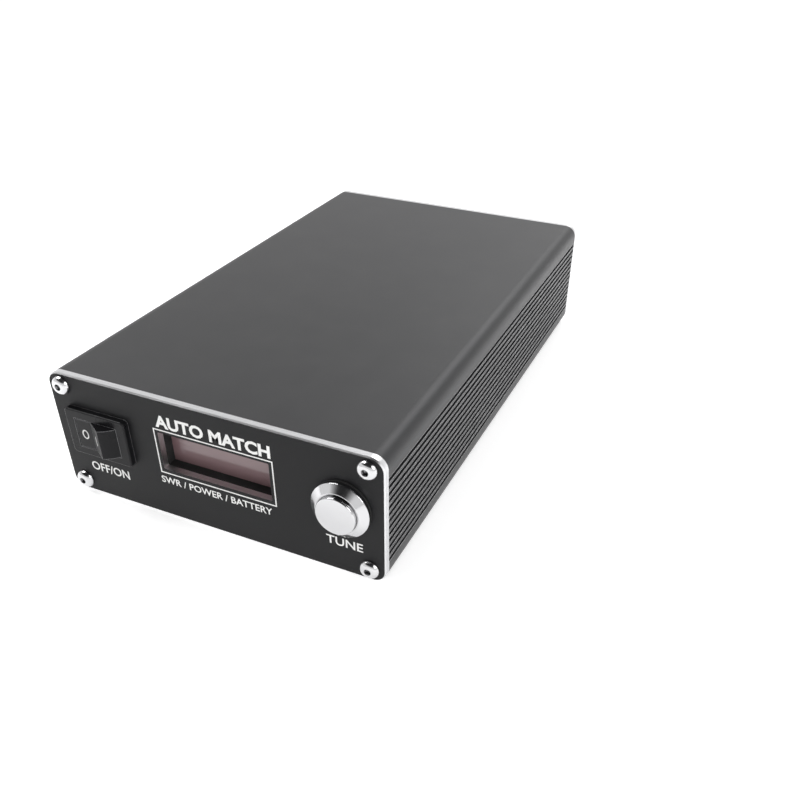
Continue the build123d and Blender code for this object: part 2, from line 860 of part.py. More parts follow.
for relay_name, row_y in (("inductor_relays", inductor_relay_y), ("capacitor_relays", capacitor_relay_y)):
    with BuildPart() as relays:
        with BuildSketch(over_board()):
            with Locations(*relay_row(row_y)):
                RectangleRounded(relay_w, relay_l, relay_edge)
        extrude(amount=relay_h)
        chamfer(relays.faces().filter_by(Plane.XY).group_by(Axis.Z)[-1].edges(), relay_edge)
    keep(relays, relay_name)

core_z = core_lift + core_h / 2
with BuildPart() as inductor_cores:
    with BuildSketch(over_board(core_lift)):
        with Locations(*[(x, core_y) for x in core_xs]):
            Circle(core_r)
            Circle(core_hole_r, mode=Mode.SUBTRACT)
    extrude(amount=core_h)
    chamfer(inductor_cores.edges().filter_by(GeomType.CIRCLE), core_edge)
keep(inductor_cores, "inductor_cores")

with BuildPart() as inductor_windings:
    for x in core_xs:
        for step in range(turn_count):
            turn = 2 * pi * (step + 0.5) / turn_count
            radial = Plane(
                origin=(x, core_y, board_top + core_z),
                x_dir=(cos(turn), sin(turn), 0),
                z_dir=(sin(turn), -cos(turn), 0),
            )
            with BuildSketch(radial):
                with Locations(((core_r + core_hole_r) / 2, 0)):
                    RectangleRounded(
                        core_r - core_hole_r + 2 * (turn_gap + turn_w),
                        core_h + 2 * (turn_gap + turn_w),
                        turn_w,
                    )
                    Rectangle(
                        core_r - core_hole_r + 2 * turn_gap, core_h + 2 * turn_gap, mode=Mode.SUBTRACT
                    )
            extrude(amount=turn_w / 2, both=True)
keep(inductor_windings, "inductor_windings")

with BuildPart() as tuning_capacitors:
    with BuildSketch(over_board()):
        with Locations(*relay_row(capacitor_y)):
            Rectangle(capacitor_w, capacitor_l)
    extrude(amount=capacitor_h)
keep(tuning_capacitors, "tuning_capacitors")

with BuildPart() as supply_capacitors:
    with BuildSketch(over_board()):
        with Locations(*[(x, can_y) for x in can_xs]):
            Circle(can_r)
    extrude(amount=can_h)
    fillet(supply_capacitors.edges().filter_by(GeomType.CIRCLE).group_by(Axis.Z)[-1], cap_edge_r)
keep(supply_capacitors, "supply_capacitors")

with BuildPart() as controller_chip:
    with BuildSketch(over_board(chip_lift)):
        with Locations((chip_x, chip_y)):
            Rectangle(chip_w, chip_d)
    extrude(amount=chip_h)
    with BuildSketch(over_board(chip_lift + chip_h)):
        with Locations((chip_x - chip_w / 2, chip_y)):
            Circle(leg_reach)
    extrude(amount=-chip_lift, mode=Mode.SUBTRACT)
keep(controller_chip, "controller_chip")

with BuildPart() as driver_chips:
    with BuildSketch(over_board(chip_lift)):
        with Locations(*[(x, driver_y) for x in driver_xs]):
            Rectangle(driver_w, driver_d)
    extrude(amount=chip_h)
keep(driver_chips, "driver_chips")


def leg_points(x, y, depth, count, pitch):
    """Places along both long sides of a chip for its legs."""
    reach = depth / 2 + leg_reach / 2
    return [
        (x + (step - (count - 1) / 2) * pitch, y + side * reach)
        for side in (-1, 1)
        for step in range(count)
    ]


chip_leg_points = leg_points(chip_x, chip_y, chip_d, chip_pins, pin_pitch)
for x in driver_xs:
    chip_leg_points += leg_points(x, driver_y, driver_d, driver_pins, pin_pitch / 2)
with BuildPart() as chip_legs:
    with BuildSketch(over_board()):
        with Locations(*chip_leg_points):
            Rectangle(leg_w, leg_reach)
    extrude(amount=chip_lift + chip_h / 2)
keep(chip_legs, "chip_legs")

with BuildPart() as voltage_regulator:
    with BuildSketch(over_board(chip_h)):
        with Locations((regulator_x, regulator_y)):
            Rectangle(regulator_w, regulator_d)
    extrude(amount=regulator_h - chip_h)
    with BuildSketch(over_board()):
        for step in (-1, 0, 1):
            with Locations((regulator_x + step * pin_pitch, regulator_y)):
                Rectangle(leg_w, leg_w)
    extrude(amount=chip_h)
keep(voltage_regulator, "voltage_regulator")

cup_end = rear_face_y - rf_insulator_back - rf_contact_back  # the RF contacts' front ends
coupler_y = cup_end - coupler_gap - coupler_d / 2
coupler_z = board_top + coupler_h / 2
with BuildPart() as coupler_core:
    with BuildSketch(facing_front(coupler_y + coupler_d / 2)):
        with Locations((coupler_x, coupler_z)):
            RectangleRounded(coupler_w, coupler_h, coupler_hole_r)
        with Locations((coupler_x - coupler_hole_x, coupler_z), (coupler_x + coupler_hole_x, coupler_z)):
            Circle(coupler_hole_r, mode=Mode.SUBTRACT)
    extrude(amount=coupler_d)
keep(coupler_core, "coupler_core")

with BuildPart() as coupler_windings:
    for step in range(coupler_turns):
        offset_z = (step - (coupler_turns - 1) / 2) * (coupler_turn_t + turn_gap)
        with BuildSketch(over_board(coupler_h / 2 + offset_z)):
            with Locations((coupler_x, coupler_y)):
                RectangleRounded(
                    2 * coupler_hole_x + coupler_turn_w,
                    coupler_d + 2 * (coupler_turn_t + turn_gap),
                    coupler_turn_t,
                )
                Rectangle(
                    2 * coupler_hole_x - coupler_turn_w, coupler_d + 2 * turn_gap, mode=Mode.SUBTRACT
                )
        extrude(amount=coupler_turn_t / 2, both=True)
keep(coupler_windings, "coupler_windings")

with BuildPart() as lead_sockets:
    with BuildSketch(over_board()):
        with Locations(*[(x, socket_box_y) for x in socket_box_xs]):
            Rectangle(socket_box_w, socket_box_d)
    extrude(amount=socket_box_h)
    with BuildSketch(over_board(socket_box_h)):
        with Locations(*[(x, socket_box_y) for x in socket_box_xs]):
            Rectangle(socket_box_w - 2 * socket_box_wall, socket_box_d - 2 * socket_box_wall)
    extrude(amount=socket_box_floor - socket_box_h, mode=Mode.SUBTRACT)
keep(lead_sockets, "lead_sockets")

# ======================================================= battery and charger
battery_top = case_h - wall - battery_foam_t
battery_bottom = battery_top - battery_t

with BuildPart() as battery_foam_pad:
    with BuildSketch(Plane.XY.offset(battery_top)):
        with Locations((0, battery_y)):
            Rectangle(battery_w - 2 * battery_foam_margin, battery_l - 2 * battery_foam_margin)
    extrude(amount=battery_foam_t)
keep(battery_foam_pad, "battery_foam_pad")

with BuildPart() as battery_cell:
    with BuildSketch(Plane.XY.offset(battery_bottom)):
        with Locations((0, battery_y)):
            RectangleRounded(battery_w, battery_l, battery_edge_r)
    extrude(amount=battery_t)
    long_edges = battery_cell.edges().filter_by(Axis.X) + battery_cell.edges().filter_by(Axis.Y)
    fillet(long_edges, battery_edge_r / 2)
keep(battery_cell, "battery_cell")

guard_front = battery_y + battery_l / 2 + guard_gap
with BuildPart() as battery_guard_board:
    with BuildSketch(Plane.XY.offset((battery_top + battery_bottom) / 2)):
        with Locations((0, guard_front + guard_l / 2)):
            Rectangle(guard_w, guard_l)
    extrude(amount=guard_h)
keep(battery_guard_board, "battery_guard_board")

charger_back = back_y - stop_gap
charger_front = charger_back - charger_l
spacer_points = [
    (side * (charger_w / 2 - spacer_inset), y)
    for side in (-1, 1)
    for y in (charger_front + spacer_inset, charger_back - port_length)
]
with BuildPart() as charger_board:
    with BuildSketch(Plane.XY.offset(charger_z)):
        with Locations((0, (charger_front + charger_back) / 2)):
            Rectangle(charger_w, charger_l)
    extrude(amount=charger_t)
keep(charger_board, "charger_board")

with BuildPart() as charger_spacers:
    with BuildSketch(over_board()):
        with Locations(*spacer_points):
            Circle(spacer_r)
    extrude(amount=charger_lift)
keep(charger_spacers, "charger_spacers")

port_mouth = rear_face_y
with BuildPart() as charge_port_shell:
    with BuildSketch(facing_front(port_mouth)):
        with Locations((0, port_z)):
            RectangleRounded(port_w, port_h, port_h / 2 - stop_gap)
            RectangleRounded(
                port_w - 2 * port_t, port_h - 2 * port_t, port_h / 2 - port_t - stop_gap, mode=Mode.SUBTRACT
            )
    extrude(amount=port_length)
keep(charge_port_shell, "charge_port_shell")

with BuildPart() as charge_port_tongue:
    with BuildSketch(facing_front(port_mouth - port_length + port_back_t)):
        with Locations((0, port_z)):
            RectangleRounded(
                port_w - 2 * port_t, port_h - 2 * port_t, port_h / 2 - port_t - stop_gap
            )
    extrude(amount=port_back_t)
    with BuildSketch(facing_front(port_mouth - port_length + port_back_t + tongue_port_length)):
        with Locations((0, port_z)):
            Rectangle(tongue_port_w, tongue_port_t)
    extrude(amount=tongue_port_length)
keep(charge_port_tongue, "charge_port_tongue")

with BuildPart() as charge_light_pipe:
    with BuildSketch(Plane(origin=(light_x, 0, port_z), x_dir=(1, 0, 0), z_dir=(0, 0, 1))):
        with BuildLine():
            Polyline(
                (0, rear_face_y - light_length),
                (light_r, rear_face_y - light_length),
                (light_r, rear_face_y),
                (light_head_r, rear_face_y),
                (light_head_r - light_head_t / 2, rear_face_y + light_head_t),
                (0, rear_face_y + light_head_t),
                close=True,
            )
        make_face()
    revolve(axis=Axis((light_x, 0, port_z), (0, 1, 0)))
keep(charge_light_pipe, "charge_light_pipe")

# ================================================================ RF sockets
flange_back = rear_face_y + rf_flange_t
barrel_end = flange_back + rf_barrel_length
mouth_floor = barrel_end - rf_mouth_depth
insulator_end = rear_face_y - rf_insulator_back

for socket_name, x in (("radio_socket_body", -rf_x), ("antenna_socket_body", rf_x)):
    corners = [
        (x + dx * rf_hole_pitch / 2, rf_z + dz * rf_hole_pitch / 2) for dx in (-1, 1) for dz in (-1, 1)
    ]
    with BuildPart() as socket_body:
        with BuildSketch(facing_front(flange_back)):
            with Locations((x, rf_z)):
                RectangleRounded(rf_flange, rf_flange, rf_flange_corner_r)
            with Locations(*corners):
                Circle(m3_clear_r, mode=Mode.SUBTRACT)
        extrude(amount=rf_flange_t)
        with BuildSketch(facing_front(barrel_end)):
            with Locations((x, rf_z)):
                Circle(rf_barrel_r)
        extrude(amount=rf_barrel_length)
        chamfer(socket_body.faces().sort_by(Axis.Y)[-1].outer_wire().edges(), rf_barrel_chamfer)
        with BuildSketch(facing_front(barrel_end)):
            with Locations((x, rf_z)):
                Circle(rf_mouth_r)
        extrude(amount=rf_mouth_depth, mode=Mode.SUBTRACT)
        with BuildSketch(facing_front(barrel_end)):
            with Locations((x, rf_z)):
                Circle(rf_insulator_r + rf_fit)
        extrude(amount=rf_barrel_length + rf_flange_t, mode=Mode.SUBTRACT)
    keep(socket_body, socket_name)

with BuildPart() as socket_insulators:
    with BuildSketch(facing_front(mouth_floor)):
        with Locations(*rf_centres):
            Circle(rf_insulator_r)
            Circle(rf_contact_r, mode=Mode.SUBTRACT)
    extrude(amount=mouth_floor - insulator_end)
keep(socket_insulators, "socket_insulators")

with BuildPart() as socket_contacts:
    with BuildSketch(facing_front(mouth_floor)):
        with Locations(*rf_centres):
            Circle(rf_contact_r)
    extrude(amount=mouth_floor - cup_end)
    with BuildSketch(facing_front(mouth_floor)):
        with Locations(*rf_centres):
            Circle(rf_pin_r)
    extrude(amount=rf_pin_depth, mode=Mode.SUBTRACT)
    with BuildSketch(facing_front(cup_end)):
        with Locations(*rf_centres):
            Circle(rf_pin_r)
    extrude(amount=-rf_contact_back / 2, mode=Mode.SUBTRACT)
keep(socket_contacts, "socket_contacts")

with BuildPart() as rf_socket_screws:
    with Locations(*[(x, flange_back, z) for x, z in rf_screw_points]):
        add(rf_screw)
keep(rf_socket_screws, "rf_socket_screws")

with BuildPart() as rf_socket_nuts:
    with BuildSketch(facing_front(back_y)):
        with Locations(*rf_screw_points):
            RegularPolygon(m3_nut_af / 2, 6, major_radius=False)
            Circle(m3_hole_r, mode=Mode.SUBTRACT)
    extrude(amount=m3_nut_t)
keep(rf_socket_nuts, "rf_socket_nuts")

# ===================================================================== leads
def bend_radii(points):
    """The largest arc that each corner's shorter run leaves room for."""
    radii = []
    for before, corner, after in zip(points, points[1:], points[2:]):
        run_in = Vector(*corner) - Vector(*before)
        run_out = Vector(*after) - Vector(*corner)
        turn = radians(run_in.get_angle(run_out))
        radii.append(bend_share * min(run_in.length, run_out.length) / tan(turn / 2))
    return radii


def lead(points, radius):
    """A round wire along straight runs joined by tangent arcs."""
    with BuildPart() as wire:
        with BuildLine() as route:
            FilletPolyline(*points, radius=bend_radii(points))
        with BuildSketch(Plane(origin=route.line @ 0, z_dir=route.line % 0)):
            Circle(radius)
        sweep(path=route.line)
    return wire.part


plug_z = board_top + socket_box_floor + stop_gap  # foot of a wire in its socket
switch_socket_x, button_socket_x, display_socket_x = socket_box_xs


def panel_lead(x, z, start_y, turn_y, foot_x, drop):
    """A wire from a terminal on the front panel, back over the board and down into its socket."""
    return lead(
        [(x, start_y, z), (x, turn_y, z), (foot_x, socket_box_y, z - drop), (foot_x, socket_box_y, plug_z)],
        signal_wire_r,
    )


blade_end = switch_back + blade_length
with BuildPart() as switch_leads:
    for x, side in ((switch_x, 1), (switch_x + side_blade_x, -1)):
        foot = switch_socket_x + side * pin_pitch
        add(panel_lead(x, switch_z, blade_end, switch_turn_y, foot, switch_drop))
keep(switch_leads, "switch_leads")

terminal_end = base_back + terminal_length
with BuildPart() as button_leads:
    for side in (-1, 1):
        foot = button_socket_x + side * pin_pitch / 2
        start_x = button_x + side * terminal_x
        add(panel_lead(start_x, button_z, terminal_end, switch_turn_y, foot, button_drop))
keep(button_leads, "button_leads")

with BuildPart() as display_leads:
    for step, (x, z) in enumerate(pin_row):
        foot = display_socket_x + (step - (display_pins - 1) / 2) * display_foot_pitch
        add(panel_lead(x, z, board_front_y + display_pin_length, display_turn_y, foot, 0))
keep(display_leads, "display_leads")

guard_z = (battery_top + battery_bottom) / 2 + guard_h / 2
charger_top = charger_z + charger_t
battery_foot_y = charger_front + battery_foot_in
with BuildPart() as battery_leads:
    for side in (-1, 1):
        x = side * battery_lead_x
        route = [
            (x, guard_front + guard_l, guard_z),
            (x, battery_turn_y, guard_z),
            (x, battery_foot_y, guard_z - battery_drop),
            (x, battery_foot_y, charger_top),
        ]
        add(lead(route, power_wire_r))
keep(battery_leads, "battery_leads")

cup_floor = cup_end + rf_contact_back / 2
with BuildPart() as rf_leads:
    for side in (-1, 1):
        route = [
            (side * rf_x, cup_floor, rf_z),
            (side * rf_x, cup_end - rf_turn, rf_z),
            (side * rf_foot_x, cup_end - rf_foot_in, rf_z - rf_drop),
            (side * rf_foot_x, cup_end - rf_foot_in, board_top),
        ]
        add(lead(route, rf_wire_r))
keep(rf_leads, "rf_leads")
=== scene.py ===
# %% [markdown]
# # A small automatic antenna tuner
# This lesson dresses a finished mechanical model. The metal case, the panels, the
# switch and the button arrive as fixed solids, in metres, with the front panel
# facing -Y. Everything below adds what solids leave out: finishes, printed
# lettering, screw threads, wire, solder, a floor, lamps and a camera.

# %% Load the fixed frame
import json
import math

import bmesh
import bpy
from mathutils import Matrix, Vector


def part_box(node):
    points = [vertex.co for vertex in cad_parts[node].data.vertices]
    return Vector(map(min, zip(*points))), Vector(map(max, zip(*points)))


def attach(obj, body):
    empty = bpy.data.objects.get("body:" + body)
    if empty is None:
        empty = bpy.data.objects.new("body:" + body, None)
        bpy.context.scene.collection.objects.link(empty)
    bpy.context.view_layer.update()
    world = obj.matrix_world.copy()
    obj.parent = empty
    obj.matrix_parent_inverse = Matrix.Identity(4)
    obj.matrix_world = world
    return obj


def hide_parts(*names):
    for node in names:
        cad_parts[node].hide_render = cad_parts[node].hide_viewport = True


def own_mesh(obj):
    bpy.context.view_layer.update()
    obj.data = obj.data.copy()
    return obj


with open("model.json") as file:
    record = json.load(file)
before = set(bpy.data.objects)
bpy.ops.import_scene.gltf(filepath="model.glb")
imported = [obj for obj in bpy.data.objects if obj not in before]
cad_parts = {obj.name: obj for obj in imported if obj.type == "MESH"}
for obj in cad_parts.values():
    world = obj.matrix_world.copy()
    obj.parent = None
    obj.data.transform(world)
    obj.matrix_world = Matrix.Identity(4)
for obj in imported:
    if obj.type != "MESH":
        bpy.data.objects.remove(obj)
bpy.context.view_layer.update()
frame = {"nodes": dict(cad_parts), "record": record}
nodes = frame["nodes"]
MM = 0.001

# %% [markdown]
# Places are read from the frame's boxes, never typed twice. The outer faces of the
# two panels give the planes that the printing lies on.

# %% Measure the frame
def middle(name):
    """The middle of a node's box."""
    lo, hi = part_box(name)
    return [(low + high) / 2 for low, high in zip(lo, hi)]


face_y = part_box("front_panel")[0][1]
rear_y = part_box("rear_panel")[1][1]
display_x, _, display_z = middle("display_glass")
button_x, _, button_z = middle("tune_button_housing")
switch_x = middle("power_switch_housing")[0]
print("panel face at y", round(face_y / MM, 2), "mm, window centre x", round(display_x / MM, 2), "mm")

# %% [markdown]
# Each piece made here ends as a mesh whose object sits at the origin, so that a
# pattern on Object coordinates stays put. One helper links it, gives it a
# material, and says which body it rides on.

# %% Helpers for finished pieces
def finished(name, mesh, material, body="case", smooth=False):
    """Links a mesh as a finished piece that rides on a body."""
    piece = bpy.data.objects.new(name, mesh)
    bpy.context.scene.collection.objects.link(piece)
    mesh.materials.clear()
    mesh.materials.append(material)
    for polygon in mesh.polygons:
        polygon.use_smooth = smooth
    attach(piece, body)
    return piece


def mesh_from(bm, name):
    """Turns a bmesh into mesh data with its faces pointing outwards."""
    bmesh.ops.recalc_face_normals(bm, faces=bm.faces)
    mesh = bpy.data.meshes.new(name)
    bm.to_mesh(mesh)
    bm.free()
    return mesh


# %% [markdown]
# ## Shared shader groups
# Four effects turn up on many surfaces, so each is a node group: light wear with
# painted highlights where two faces meet, fine grain, a little settled dust, and
# painted shade in tight recesses. A group only puts out masks and heights; the
# shader itself stays in each material.

# %% A helper that starts a shader group
def shader_group(name, inputs, outputs):
    """A new node group with float inputs (name: default) and float outputs."""
    tree = bpy.data.node_groups.new(name, "ShaderNodeTree")
    for label, default in inputs.items():
        socket = tree.interface.new_socket(label, in_out="INPUT", socket_type="NodeSocketFloat")
        socket.default_value = default
    for label in outputs:
        tree.interface.new_socket(label, in_out="OUTPUT", socket_type="NodeSocketFloat")
    return tree, tree.nodes.new("NodeGroupInput"), tree.nodes.new("NodeGroupOutput")


def math_node(tree, operation, first, second=None, clamp=False):
    """A maths node fed by sockets or plain numbers."""
    node = tree.nodes.new("ShaderNodeMath")
    node.operation = operation
    node.use_clamp = clamp
    for index, value in enumerate((first, second)):
        if value is None:
            continue
        if isinstance(value, (int, float)):
            node.inputs[index].default_value = value
        else:
            tree.links.new(value, node.inputs[index])
    return node.outputs[0]


def object_noise(tree, scale, detail=4.0, stretch=None):
    """Noise on Object coordinates; stretch squeezes it along the axes."""
    place = tree.nodes.new("ShaderNodeTexCoord").outputs["Object"]
    if stretch:
        mapping = tree.nodes.new("ShaderNodeMapping")
        mapping.inputs["Scale"].default_value = stretch
        tree.links.new(place, mapping.inputs["Vector"])
        place = mapping.outputs["Vector"]
    noise = tree.nodes.new("ShaderNodeTexNoise")
    noise.inputs["Detail"].default_value = detail
    if isinstance(scale, (int, float)):
        noise.inputs["Scale"].default_value = scale
    else:
        tree.links.new(scale, noise.inputs["Scale"])
    tree.links.new(place, noise.inputs["Vector"])
    return noise.outputs["Fac"]


# %% [markdown]
# The pale edges, partly wear and partly painted highlight, could be painted by hand or read
# from the mesh, but the solids' meshes are loose triangles, so the Bevel node finds their
# edges at render time instead.
# Ambient Occlusion finds the tight places that light hardly reaches, and these get painted shade.

# %% Edge wear with painted highlights, grain, dust and painted recess shade
def build_edge_wear_and_glint():
    """Mask of the edges: where a rounded normal leaves the flat one, broken up by noise."""
    steepness, patch_scale, least_wear_and_glint = 9.0, 420.0, 0.35
    tree, inside, outside = shader_group("edge_wear_and_glint", {"Radius": 0.3 * MM, "Amount": 1.0}, ["Mask"])
    rounded = tree.nodes.new("ShaderNodeBevel")
    rounded.samples = 6
    tree.links.new(inside.outputs["Radius"], rounded.inputs["Radius"])
    flat = tree.nodes.new("ShaderNodeNewGeometry")
    dot = tree.nodes.new("ShaderNodeVectorMath")
    dot.operation = "DOT_PRODUCT"
    tree.links.new(rounded.outputs["Normal"], dot.inputs[0])
    tree.links.new(flat.outputs["Normal"], dot.inputs[1])
    bend = math_node(tree, "SUBTRACT", 1.0, dot.outputs["Value"], clamp=True)
    sharp = math_node(tree, "MULTIPLY", bend, steepness, clamp=True)
    patchy = math_node(tree, "ADD", object_noise(tree, patch_scale), least_wear_and_glint, clamp=True)
    # The patchy edge mask stands for both wear and painted highlights on the edges.
    worn_and_glinting = math_node(tree, "MULTIPLY", sharp, patchy)
    mask = math_node(tree, "MULTIPLY", worn_and_glinting, inside.outputs["Amount"], clamp=True)
    tree.links.new(mask, outside.inputs["Mask"])
    return tree


def build_grain():
    """Fine grain: a broad, slow value about one half, and a fine height for bump."""
    broad_scale = 60.0
    tree, inside, outside = shader_group("grain", {"Scale": 3000.0}, ["Value", "Height"])
    fine = object_noise(tree, inside.outputs["Scale"], detail=2.0)
    broad = object_noise(tree, broad_scale, detail=3.0)
    tree.links.new(broad, outside.inputs["Value"])
    tree.links.new(fine, outside.inputs["Height"])
    return tree


def build_dust():
    """Mask of settled dust: upward faces, in soft patches."""
    patch_scale, clean_level = 90.0, 0.42
    tree, inside, outside = shader_group("dust", {"Amount": 0.15}, ["Mask"])
    split = tree.nodes.new("ShaderNodeSeparateXYZ")
    tree.links.new(tree.nodes.new("ShaderNodeNewGeometry").outputs["Normal"], split.inputs["Vector"])
    upward = math_node(tree, "MULTIPLY", split.outputs["Z"], 1.0, clamp=True)
    cloud = object_noise(tree, patch_scale, detail=8.0)
    patches = math_node(tree, "SUBTRACT", cloud, clean_level, clamp=True)
    thick = math_node(tree, "MULTIPLY", upward, patches)
    mask = math_node(tree, "MULTIPLY", thick, inside.outputs["Amount"], clamp=True)
    tree.links.new(mask, outside.inputs["Mask"])
    return tree


def build_recess():
    """Mask of painted shade in tight recesses: how little of the open air a point can see within Reach."""
    open_level, contrast = 0.72, 2.6
    tree, inside, outside = shader_group("recess_shade", {"Reach": 1.2 * MM, "Amount": 1.0}, ["Mask"])
    open_air = tree.nodes.new("ShaderNodeAmbientOcclusion")
    open_air.samples = 8
    tree.links.new(inside.outputs["Reach"], open_air.inputs["Distance"])
    closed = math_node(tree, "SUBTRACT", open_level, open_air.outputs["AO"], clamp=True)
    deep = math_node(tree, "MULTIPLY", closed, contrast, clamp=True)
    mask = math_node(tree, "MULTIPLY", deep, inside.outputs["Amount"], clamp=True)
    tree.links.new(mask, outside.inputs["Mask"])
    return tree


groups = {"edge_wear_and_glint": build_edge_wear_and_glint(), "grain": build_grain(), "dust": build_dust(),
          "recess_shade": build_recess()}
print("shader groups", sorted(groups))

# %% [markdown]
# ## Finishes
# Every finish starts from one recipe with its own values: a base colour that
# drifts a little, a roughness that drifts with it, a fine bump, and a brighter,
# barer colour on the edges that stands for wear and painted highlights. Only the
# anodised shells and the switch, whose edges get handled, carry it; only the bright
# metal gets painted shade in its recesses.

# %% The recipe for a finish
DUST_GREY = (0.45, 0.44, 0.42)
# Painted shade: the near-black mixed into tight recesses.
RECESS_SHADE_BLACK = (0.012, 0.012, 0.013)
COAT_ROUGHNESS = 0.08
RELIEF_HEIGHT = 0.1 * MM


def place_group(tree, name, **values):
    """Places a shared group in a material with its own values."""
    node = tree.nodes.new("ShaderNodeGroup")
    node.node_tree = groups[name]
    for label, value in values.items():
        node.inputs[label].default_value = value
    return node


def mix_colour(tree, factor, first, second):
    """Mixes two colours; each is a socket or a plain colour."""
    node = tree.nodes.new("ShaderNodeMix")
    node.data_type = "RGBA"
    tree.links.new(factor, node.inputs[0])
    for socket, value in ((node.inputs[6], first), (node.inputs[7], second)):
        if isinstance(value, tuple):
            socket.default_value = (*value, 1.0)
        else:
            tree.links.new(value, socket)
    return node.outputs[2]


def span(tree, factor, low, high):
    """Maps 0..1 onto low..high."""
    node = tree.nodes.new("ShaderNodeMapRange")
    node.inputs["To Min"].default_value = low
    node.inputs["To Max"].default_value = high
    tree.links.new(factor, node.inputs["Value"])
    return node.outputs["Result"]


def finish(name, colour, drift=0.25, rough=(0.4, 0.5), metal=0.0, grain=3000.0, bump=0.05,
           wear_and_glint=0.0, wear_and_glint_colour=(0.5, 0.5, 0.5), wear_and_glint_radius=0.3 * MM, dust=0.0, coat=0.0, recess_shade=0.0,
           specular=0.5):
    """A procedural finish; returns the material."""
    material = bpy.data.materials.new(name)
    material.use_nodes = True
    tree = material.node_tree
    shader = tree.nodes["Principled BSDF"]
    texture = place_group(tree, "grain", Scale=grain)
    lighter = tuple(min(1.0, c * (1 + drift)) for c in colour)
    darker = tuple(c * (1 - drift) for c in colour)
    tint = mix_colour(tree, texture.outputs["Value"], darker, lighter)
    roughness = span(tree, texture.outputs["Value"], *rough)
    shader.inputs["Metallic"].default_value = metal
    shader.inputs["Specular IOR Level"].default_value = specular
    # Edges get a paler colour: partly wear, partly painted highlight.
    if wear_and_glint:
        edges = place_group(tree, "edge_wear_and_glint", Radius=wear_and_glint_radius, Amount=wear_and_glint)
        tint = mix_colour(tree, edges.outputs["Mask"], tint, wear_and_glint_colour)
    if dust:
        settled = place_group(tree, "dust", Amount=dust)
        tint = mix_colour(tree, settled.outputs["Mask"], tint, DUST_GREY)
    # Painted shade: tight recesses are darkened towards black.
    if recess_shade:
        painted_shade = place_group(tree, "recess_shade", Amount=recess_shade)
        tint = mix_colour(tree, painted_shade.outputs["Mask"], tint, RECESS_SHADE_BLACK)
    tree.links.new(tint, shader.inputs["Base Color"])
    tree.links.new(roughness, shader.inputs["Roughness"])
    if coat:
        shader.inputs["Coat Weight"].default_value = coat
        shader.inputs["Coat Roughness"].default_value = COAT_ROUGHNESS
    relief = tree.nodes.new("ShaderNodeBump")
    relief.inputs["Strength"].default_value = bump
    relief.inputs["Distance"].default_value = RELIEF_HEIGHT
    tree.links.new(texture.outputs["Height"], relief.inputs["Height"])
    tree.links.new(relief.outputs["Normal"], shader.inputs["Normal"])
    return material


# %% [markdown]
# The two shells are extruded aluminium, blasted matt and then dyed black. The dye
# is thin, so the metal under it still tints the highlights: the finish is part
# metal, with a fine bump for the blasting and pale lines painted on the ribs' edges,
# partly wear and partly painted highlight.

# %% Black anodised case
# The pale edge colour here is partly wear and partly painted highlight on the edges and ribs.
case_black = finish("black_anodised_shell", (0.034, 0.034, 0.036), drift=0.05, rough=(0.42, 0.44),
                    metal=0.35, grain=5200.0, bump=0.22, wear_and_glint=1.0, wear_and_glint_colour=(0.62, 0.62, 0.63),
                    wear_and_glint_radius=0.28 * MM, dust=0.04)

# %% [markdown]
# The panels are cut from sheet that was anodised and printed first, so their
# faces are black while every cut edge, the rim, the chamfer and the sides of the
# window, shows bare aluminium. The face's own normal tells the two apart.

# %% Panel sheet with bare cut edges
def panel_finish(name, direction):
    """Black where the face looks along direction (-1 front, 1 rear), bare metal elsewhere."""
    flat_enough, mill_scale = 0.93, 40.0
    dull_metal, bright_metal = (0.50, 0.50, 0.51), (0.86, 0.86, 0.87)
    material = finish(name, (0.010, 0.010, 0.011), drift=0.10, rough=(0.46, 0.52), grain=6500.0,
                      bump=0.20, specular=0.20)
    tree = material.node_tree
    shader = tree.nodes["Principled BSDF"]
    split = tree.nodes.new("ShaderNodeSeparateXYZ")
    tree.links.new(tree.nodes.new("ShaderNodeNewGeometry").outputs["Normal"], split.inputs["Vector"])
    facing = math_node(tree, "MULTIPLY", split.outputs["Y"], float(direction))
    painted = math_node(tree, "GREATER_THAN", facing, flat_enough)
    black = shader.inputs["Base Color"].links[0].from_socket
    mill_lines = object_noise(tree, mill_scale, detail=6.0, stretch=(1.0, 90.0, 1.0))
    bare = mix_colour(tree, mill_lines, dull_metal, bright_metal)
    tree.links.new(mix_colour(tree, painted, bare, black), shader.inputs["Base Color"])
    tree.links.new(math_node(tree, "SUBTRACT", 1.0, painted), shader.inputs["Metallic"])
    satin = shader.inputs["Roughness"].links[0].from_socket
    milled = span(tree, mill_lines, 0.24, 0.40)
    blend = tree.nodes.new("ShaderNodeMix")
    tree.links.new(painted, blend.inputs[0])
    tree.links.new(milled, blend.inputs[2])
    tree.links.new(satin, blend.inputs[3])
    tree.links.new(blend.outputs[0], shader.inputs["Roughness"])
    return material


front_sheet = panel_finish("front_panel_sheet", -1)
rear_sheet = panel_finish("rear_panel_sheet", 1)
print("panel finishes", front_sheet.name, rear_sheet.name)

# %% [markdown]
# The other metals share one recipe and differ in colour, polish and grain. The
# button is polished the most; screws are brighter than springs; brass and copper
# stand only where current flows.

